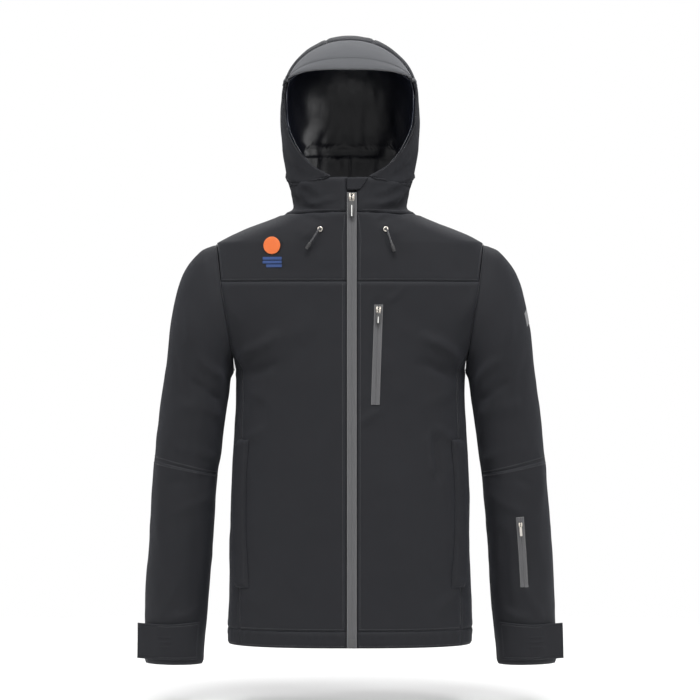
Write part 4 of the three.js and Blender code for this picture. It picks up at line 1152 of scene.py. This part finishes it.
DISC_OUT = np.array([-0.265, -0.964, 0])
disc("badge_disc", np.array([-134.95, -93.53, -57.66]) - 1.2 * DISC_OUT, DISC_OUT, 15, 1.2, "badge orange",
     "chest_badge")
badge_out = unit(np.array([-0.24, -0.97, 0.03]))
for k, (dx, dz, w, h) in enumerate(((0, -22.0, 17.0, 2.6), (0, -28.5, 17.0, 2.6), (3.2, -35.0, 13.8, 2.6))):
    at = front_point(np.array(-134.0 + dx), np.array(-58.0 + dz))
    place_mesh(f"badge_bar_{k}", [slab(round_box(w, h * 0.95, 1.4), -1.2, 1.5, 0.3)],
               frame_at(at, (0, 0, 1), badge_out), 1, "badge blue", "torso")
print("flaps and badge made")

# %% [markdown]
# ## Linings
# Behind the shell hangs a thin shiny lining. In the hood it is loose, so it creases, and a sewn channel
# crosses it for the band that tightens the hood. The body's lining and the powder skirt hang the same way.

# %% Hood lining, body lining and skirt
def lining_folds(u, v, p):
    """The lining's slack: long soft pleats that fan from the crown, and a flat channel with a stitch each side."""
    x, z = p[..., 0], p[..., 2]
    slack = 1.5 * noise(p * [1.0, 0.6, 0.35], 24, 5) + 0.8 * noise(p * [1, 0.7, 0.5], 11, 6)
    cross = 0.9 * np.sin(x / 9.0 + 2.2 * noise(p, 60, 7)) * np.exp(-((z - 150) / 60) ** 2)
    band = np.exp(-(np.abs(z - 111) / 11) ** 6)
    lines = np.exp(-((np.abs(z - 111) - 11) / 1.6) ** 2)
    middle = np.exp(-(x / 1.4) ** 2) * (z < 104)
    rim = np.clip(np.minimum(np.minimum(u, 1 - u) * 14, v * 9), 0, 1)
    high = (slack + 1.5 * cross) * (1 - 0.75 * band) - 1.6 * lines - 1.4 * middle + 0.8 * band
    return high * rim + 3.0 * (1 - rim)


hood_lining = panel("hood_lining", hood_part(-0.93, 0.93, 0.02, 0.985), 170, 130, HEART, TORSO_FOLDS, body=None,
                    material="lining", thick=0.8, seams=(0, 0, 0, 0), crumple=0.0, inset=8.2,
                    shape=lining_folds, radial=True)
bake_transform(hood_lining)


def inner(angle, top, foot):
    """A strip all round the inside of the body from one front edge to the other."""
    def surface(u, v):
        """The strip's point at u round the body and v from its top to its foot."""
        a = -angle + (np.pi + 2 * angle) * u
        z = top + (foot - top) * v
        return skin(*np.broadcast_arrays(a, z))
    return surface


def body_slack(u, v, p):
    """Loose body lining: upright pleats and slow swells."""
    return 1.4 * noise(p * [1, 1, 0.3], 26, 8) + 0.7 * noise(p * [1, 1, 0.6], 12, 9)


sewn.append(panel("torso_lining", inner(1.3, -284, -706), 170, 60, axis_heart, [],
                  material="lining", thick=0.8, seams=(0, 0, 0, 0), crumple=0.0, inset=15.4, shape=body_slack))
sewn.append(panel("powder_skirt", inner(1.36, -560, -680), 170, 24, axis_heart, [],
                  material="lining", thick=0.9, seams=(0, 0, 0, 1), crumple=0.0, inset=20.6, shape=body_slack))
sewn.append(hood_lining)
print("linings made")

# %% [markdown]
# ## Cord tails
# Each hood cord comes out of a metal eyelet and hangs a short way to a moulded end. The braid is a tube
# whose radius ripples in two opposite spirals, and the eyelet is a rolled ring.

# %% Cords, ends and eyelets
def curve_through(points, n):
    """A smooth curve through a few points: each coordinate is the smooth table of the distance along."""
    return np.stack([along_row([p[k] for p in points], np.linspace(0, 1, n)) for k in range(3)], -1)


def tube_mesh(path, radius, sides=16, ripple=0.0, turns=0.0):
    """A round tube along a path: rings of points at the radius, plus a ripple in two opposite spirals, and
    domed ends. The ring's own directions are carried along the path without twisting."""
    d = unit(np.gradient(path, axis=0))
    ref = unit(np.cross(d, [0.3, -1, 0.2]))
    other = np.cross(d, ref)
    a = np.linspace(0, 2 * np.pi, sides, endpoint=False)[None, :]
    s = np.linspace(0, 1, len(path))[:, None]
    twist = 2 * np.pi * turns * s
    r = np.asarray(radius).reshape(-1, 1) * (1 + ripple * np.sin(4 * a + twist) * np.sin(4 * a - twist))
    v = path[:, None] + r[..., None] * (np.cos(a)[..., None] * ref[:, None] + np.sin(a)[..., None] * other[:, None])
    n = len(path)
    faces = [(k * sides + i, k * sides + (i + 1) % sides, (k + 1) * sides + (i + 1) % sides, (k + 1) * sides + i)
             for k in range(n - 1) for i in range(sides)]
    faces += [tuple(range(sides))[::-1], tuple(range((n - 1) * sides, n * sides))]
    run = np.concatenate([[0], np.cumsum(np.linalg.norm(np.diff(path, axis=0), axis=1))])
    uv = np.stack(np.broadcast_arrays(np.linspace(0, 2 * np.pi * 1.4, sides)[None, :], run[:, None]), -1)
    return v.reshape(-1, 3), faces, uv.reshape(-1, 2)


TAILS = {"left": ((61, -30), (72, -56)), "right": ((-51, -30), (-68, -53))}
for name, ((x0, z0), (x1, z1)) in TAILS.items():
    face, end = (front_point(np.array(float(x)), np.array(float(z))) for x, z in ((x0, z0), (x1, z1)))
    out = unit(np.array([face[0] * 0.5, face[1], 12]))
    low = end + [0, -7.5, 0]
    bend = (face + 7 * out) * 0.88 + end * 0.12 + [0, -2.4, 0]
    path = curve_through([face + 1.2 * out, face + 5 * out, bend, low], 120)
    v, f, uv = tube_mesh(path, np.full(120, 1.36), 16, 0.07, 26)
    cord = object_from(f"hood_cord_{name}_braid", v, f, "cord", "torso", uv)
    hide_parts(f"hood_cord_{name}")
    along = unit(low - bend)
    t = np.linspace(0, 1, 26)
    stop_path = low + (0.2 + 13.2 * t)[:, None] * along
    grooves = 0.12 * np.exp(-((t - 0.2) / 0.04) ** 2) + 0.12 * np.exp(-((t - 0.8) / 0.04) ** 2)
    r = 3.05 * np.minimum(1, np.sqrt(np.maximum(1 - np.abs(2 * t - 1) ** 7, 0.0)) * 0.75 + 0.28) * (1 - grooves)
    v, f, uv = tube_mesh(stop_path, r, 20)
    tip = object_from(f"cord_end_{name}_moulded", v, f, "black plastic", "torso", uv)
    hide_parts(f"cord_end_{name}")
    m = frame_at(face + 1.6 * out, (0, 0, 1), out)
    a, b = (np.linspace(0, 2 * np.pi, n, endpoint=False) for n in (40, 14))
    a, b = np.meshgrid(a, b, indexing="ij")
    reach = 3.2 + 1.35 * np.cos(b)
    ring = np.stack([reach * np.cos(a), -0.7 - 0.75 * np.sin(b), reach * np.sin(a)], -1)
    idx = lambda i, j: (i % 40) * 14 + j % 14
    faces = [(idx(i, j), idx(i + 1, j), idx(i + 1, j + 1), idx(i, j + 1)) for i in range(40) for j in range(14)]
    eyelet = place_mesh(f"eyelet_{name}_ring", [(ring.reshape(-1, 3), faces)], m, 1, "slider metal", "torso",
                        f"eyelet_{name}")
    eyelet.data.polygons.foreach_set("use_smooth", np.ones(len(eyelet.data.polygons), bool))

# %% [markdown]
# ## Stitching
# Topstitching holds each seam flat: a row of short threads a few millimetres from the edge, each sunk at its
# ends. A thread is a tiny six-sided bead pulled long, and one array holds all the beads of a row, so that
# thousands stay light. Each row is a path in its panel's own two parameters, so it lies on the same wrinkles.

# %% Stitch rows
def stitches(surface, us, vs, heart, rows, lift=0.30, long=2.5, gap=1.5, thick=0.40, crumple=1.0):
    """Beads along a path on a panel: the path's points are lifted by the wrinkles there, beads are set at even
    distances, and each is two rings of six points between two end points."""
    t = np.linspace(0, 1, 600)
    u, v = (np.interp(t, np.linspace(0, 1, len(w)), w)[:, None] for w in (us, vs))
    e = 1e-3
    at = lambda a, b: surface(a, b).reshape(-1, 3)
    p, pu, pv = at(u, v), at(u + e, v), at(u, v + e)
    n = unit(np.cross(pu - p, pv - p))
    n = n * np.where(np.sum(n * (p - heart), -1) < 0, -1, 1)[:, None]
    p = p + n * (cloth(p, rows, crumple) + lift)[:, None]
    run = np.concatenate([[0], np.cumsum(np.linalg.norm(np.diff(p, axis=0), axis=1))])
    mid = np.arange(gap, run[-1] - long, long + gap) + long / 2
    pick = lambda q: np.stack([np.interp(mid, run, q[:, k]) for k in range(3)], -1)
    c, up = pick(p), unit(pick(n))
    d = unit(pick(np.gradient(p, axis=0)))
    side = np.cross(d, up)
    a = np.linspace(0, 2 * np.pi, 6, endpoint=False)
    ring = thick * (np.cos(a)[None, :, None] * side[:, None] + np.sin(a)[None, :, None] * up[:, None])
    beads = np.concatenate([(c - d * long / 2 - up * 0.4)[:, None], c[:, None] - d[:, None] * long * 0.3 + ring,
                            c[:, None] + d[:, None] * long * 0.3 + ring, (c + d * long / 2 - up * 0.4)[:, None]], 1)
    one = [(0, 1 + (i + 1) % 6, 1 + i) for i in range(6)] + [(13, 7 + i, 7 + (i + 1) % 6) for i in range(6)]
    one += [(1 + i, 1 + (i + 1) % 6, 7 + (i + 1) % 6, 7 + i) for i in range(6)]
    return beads.reshape(-1, 3), [tuple(14 * k + i for i in f) for k in range(len(mid)) for f in one]


def sew(name, parts, body, across=None):
    """One object of many rows of stitches, carried by one body, or baked into world space when a joint is given."""
    verts, faces = merge(parts)
    obj = object_from(name, verts, faces, "thread", body)
    if across:
        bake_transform(obj)
    print(name, len(faces) // 18, "stitches")
    return obj


torso_rows = []
for name, side in (("left", 1), ("right", -1)):
    edge = zip_edge(ZIP_HALF + side * ZIP_X)
    yoke = body_strip(side, edge, front_edge, -0.5, YOKE_Z)
    front = body_strip(side, edge, front_edge, YOKE_Z, HEM_SEAM_Z)
    hem = body_strip(side, edge, front_edge, HEM_SEAM_Z, HEM_Z)
    collar = collar_surface(side)
    def row(surface, us, vs, **k):
        """One row of stitches on a torso panel, from its path in u and v; z is the height of the row's heart."""
        torso_rows.append(stitches(surface, us, vs, np.array([0.0, 40.0, k.pop("z", -150.0)]), TORSO_FOLDS, **k))
    row(yoke, [0.01, 0.99], [0.965, 0.965])
    row(yoke, [0.02, 0.02], [0.04, 0.96])
    row(yoke, [0.97, 0.985], [0.45, 0.95])
    row(yoke, [0.955, 0.97], [0.45, 0.95])
    row(front, [0.022, 0.018], [0.004, 0.99], z=-400.0)
    row(front, [0.982, 0.985], [0.26, 0.99], z=-450.0)
    row(front, [0.01, 0.99], [0.993, 0.993], z=-700.0)
    row(hem, [0.01, 0.99], [0.86, 0.86], z=-735.0)
    row(collar, [0.03, 0.98], [0.93, 0.93], z=20.0)
    welt = pocket_strip(side, -13, 11, -393, -649)
    row(welt, [0.12, 0.12], [0.02, 0.98], z=-500.0, lift=2.5, crumple=0.6)
sew("torso_stitching", torso_rows, "torso")
back_rows = []
for v in (0.035, 0.05):
    back_rows.append(stitches(back_strip(YOKE_Z, HEM_SEAM_Z), [0.01, 0.99], [v / 5, v / 5],
                              np.array([0, -40.0, -150]), TORSO_FOLDS))
back_rows.append(stitches(back_strip(-0.5, YOKE_Z), [0.03, 0.97], [0.965, 0.965], np.array([0, -40.0, -100]),
                          TORSO_FOLDS))
back_rows.append(stitches(back_strip(HEM_SEAM_Z, HEM_Z, True), [0.01, 0.99], [0.86, 0.86],
                          np.array([0, -40.0, -735]), TORSO_FOLDS))
sew("back_stitching", back_rows, "torso")
hood_rows = [stitches(hood_part(-1, 1, 0, VISOR_V), [0.03, 0.97], [v, v], HEART, TORSO_FOLDS, lift=0.4, crumple=0.4)
             for v in (0.93, 0.30)]
for s in (-1, 1):
    for u in (0.275, 0.325):
        hood_rows.append(stitches(hood_part(0, s, 0, 1), [u, u], [0.22, 0.97], HEART, TORSO_FOLDS))
    hood_rows.append(stitches(hood_part(0, s, 0, 1), [0.955, 0.955], [0.22, 0.62], HEART, TORSO_FOLDS))
sew("hood_stitching", hood_rows, None, ("torso", "hood", (0, 0, 0.040), (0, 0, 0.150)))
for name, side in (("left", 1), ("right", -1)):
    rows = sleeve_folds(side)
    around = np.linspace(0.02, 0.98, 40)
    hearts = lambda t: sleeve(side, np.linspace(0, 1, 24, endpoint=False), t).mean(0)
    upper = [stitches(tube(side, 0.13, ELBOW), around, [v] * 40, hearts(t), rows)
             for v, t in ((0.006, 0.2), (0.986, 5.9))]
    sew(f"upper_sleeve_stitching_{name}", upper, None,
        ("torso", f"sleeve_{name}", (side * 0.2165, 0, -0.1625), (side * 0.266, 0, -0.1695)))
    lower = [stitches(tube(side, ELBOW, LAST), around, [0.014] * 40, hearts(6.1), rows)]
    sew(f"lower_sleeve_stitching_{name}", lower, None,
        (f"sleeve_{name}", f"forearm_{name}", (side * 0.2865, 0, -0.4425), (side * 0.300, 0, -0.540)))
    tab = [stitches(tab_surface(side), us, vs, np.array([side * 306.0, 0, -740.0]), [], lift=3.1, crumple=0)
           for us, vs in (([0.03, 0.68], [0.07, 0.07]), ([0.03, 0.68], [0.93, 0.93]), ([0.035, 0.035], [0.08, 0.92]))]
    sew(f"tab_stitching_{name}", tab, None, (f"forearm_{name}", f"cuff_tab_{name}", (side * 0.2570, -0.036, -0.735),
        (side * 0.2710, -0.044, -0.735)))

# %% [markdown]
# ## Finish
# The carried-over parts take the same finishes as the pieces beside them.

# %% Finishes of the carried-over parts
print("declaring", len(sewn) + len(hooded), "sheets")
for obj in sewn + hooded:
    declare_sheet(obj)
for name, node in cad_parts.items():
    finish = ("zip tape" if "zip_tape" in name else "lining" if "bag" in name else "cord" if "loop" in name
              else "black plastic" if ("adjuster" in name or "box" in name)
              else "reflective" if "reflector" in name else "shell")
    node.data.materials.clear()
    node.data.materials.append(materials[finish])
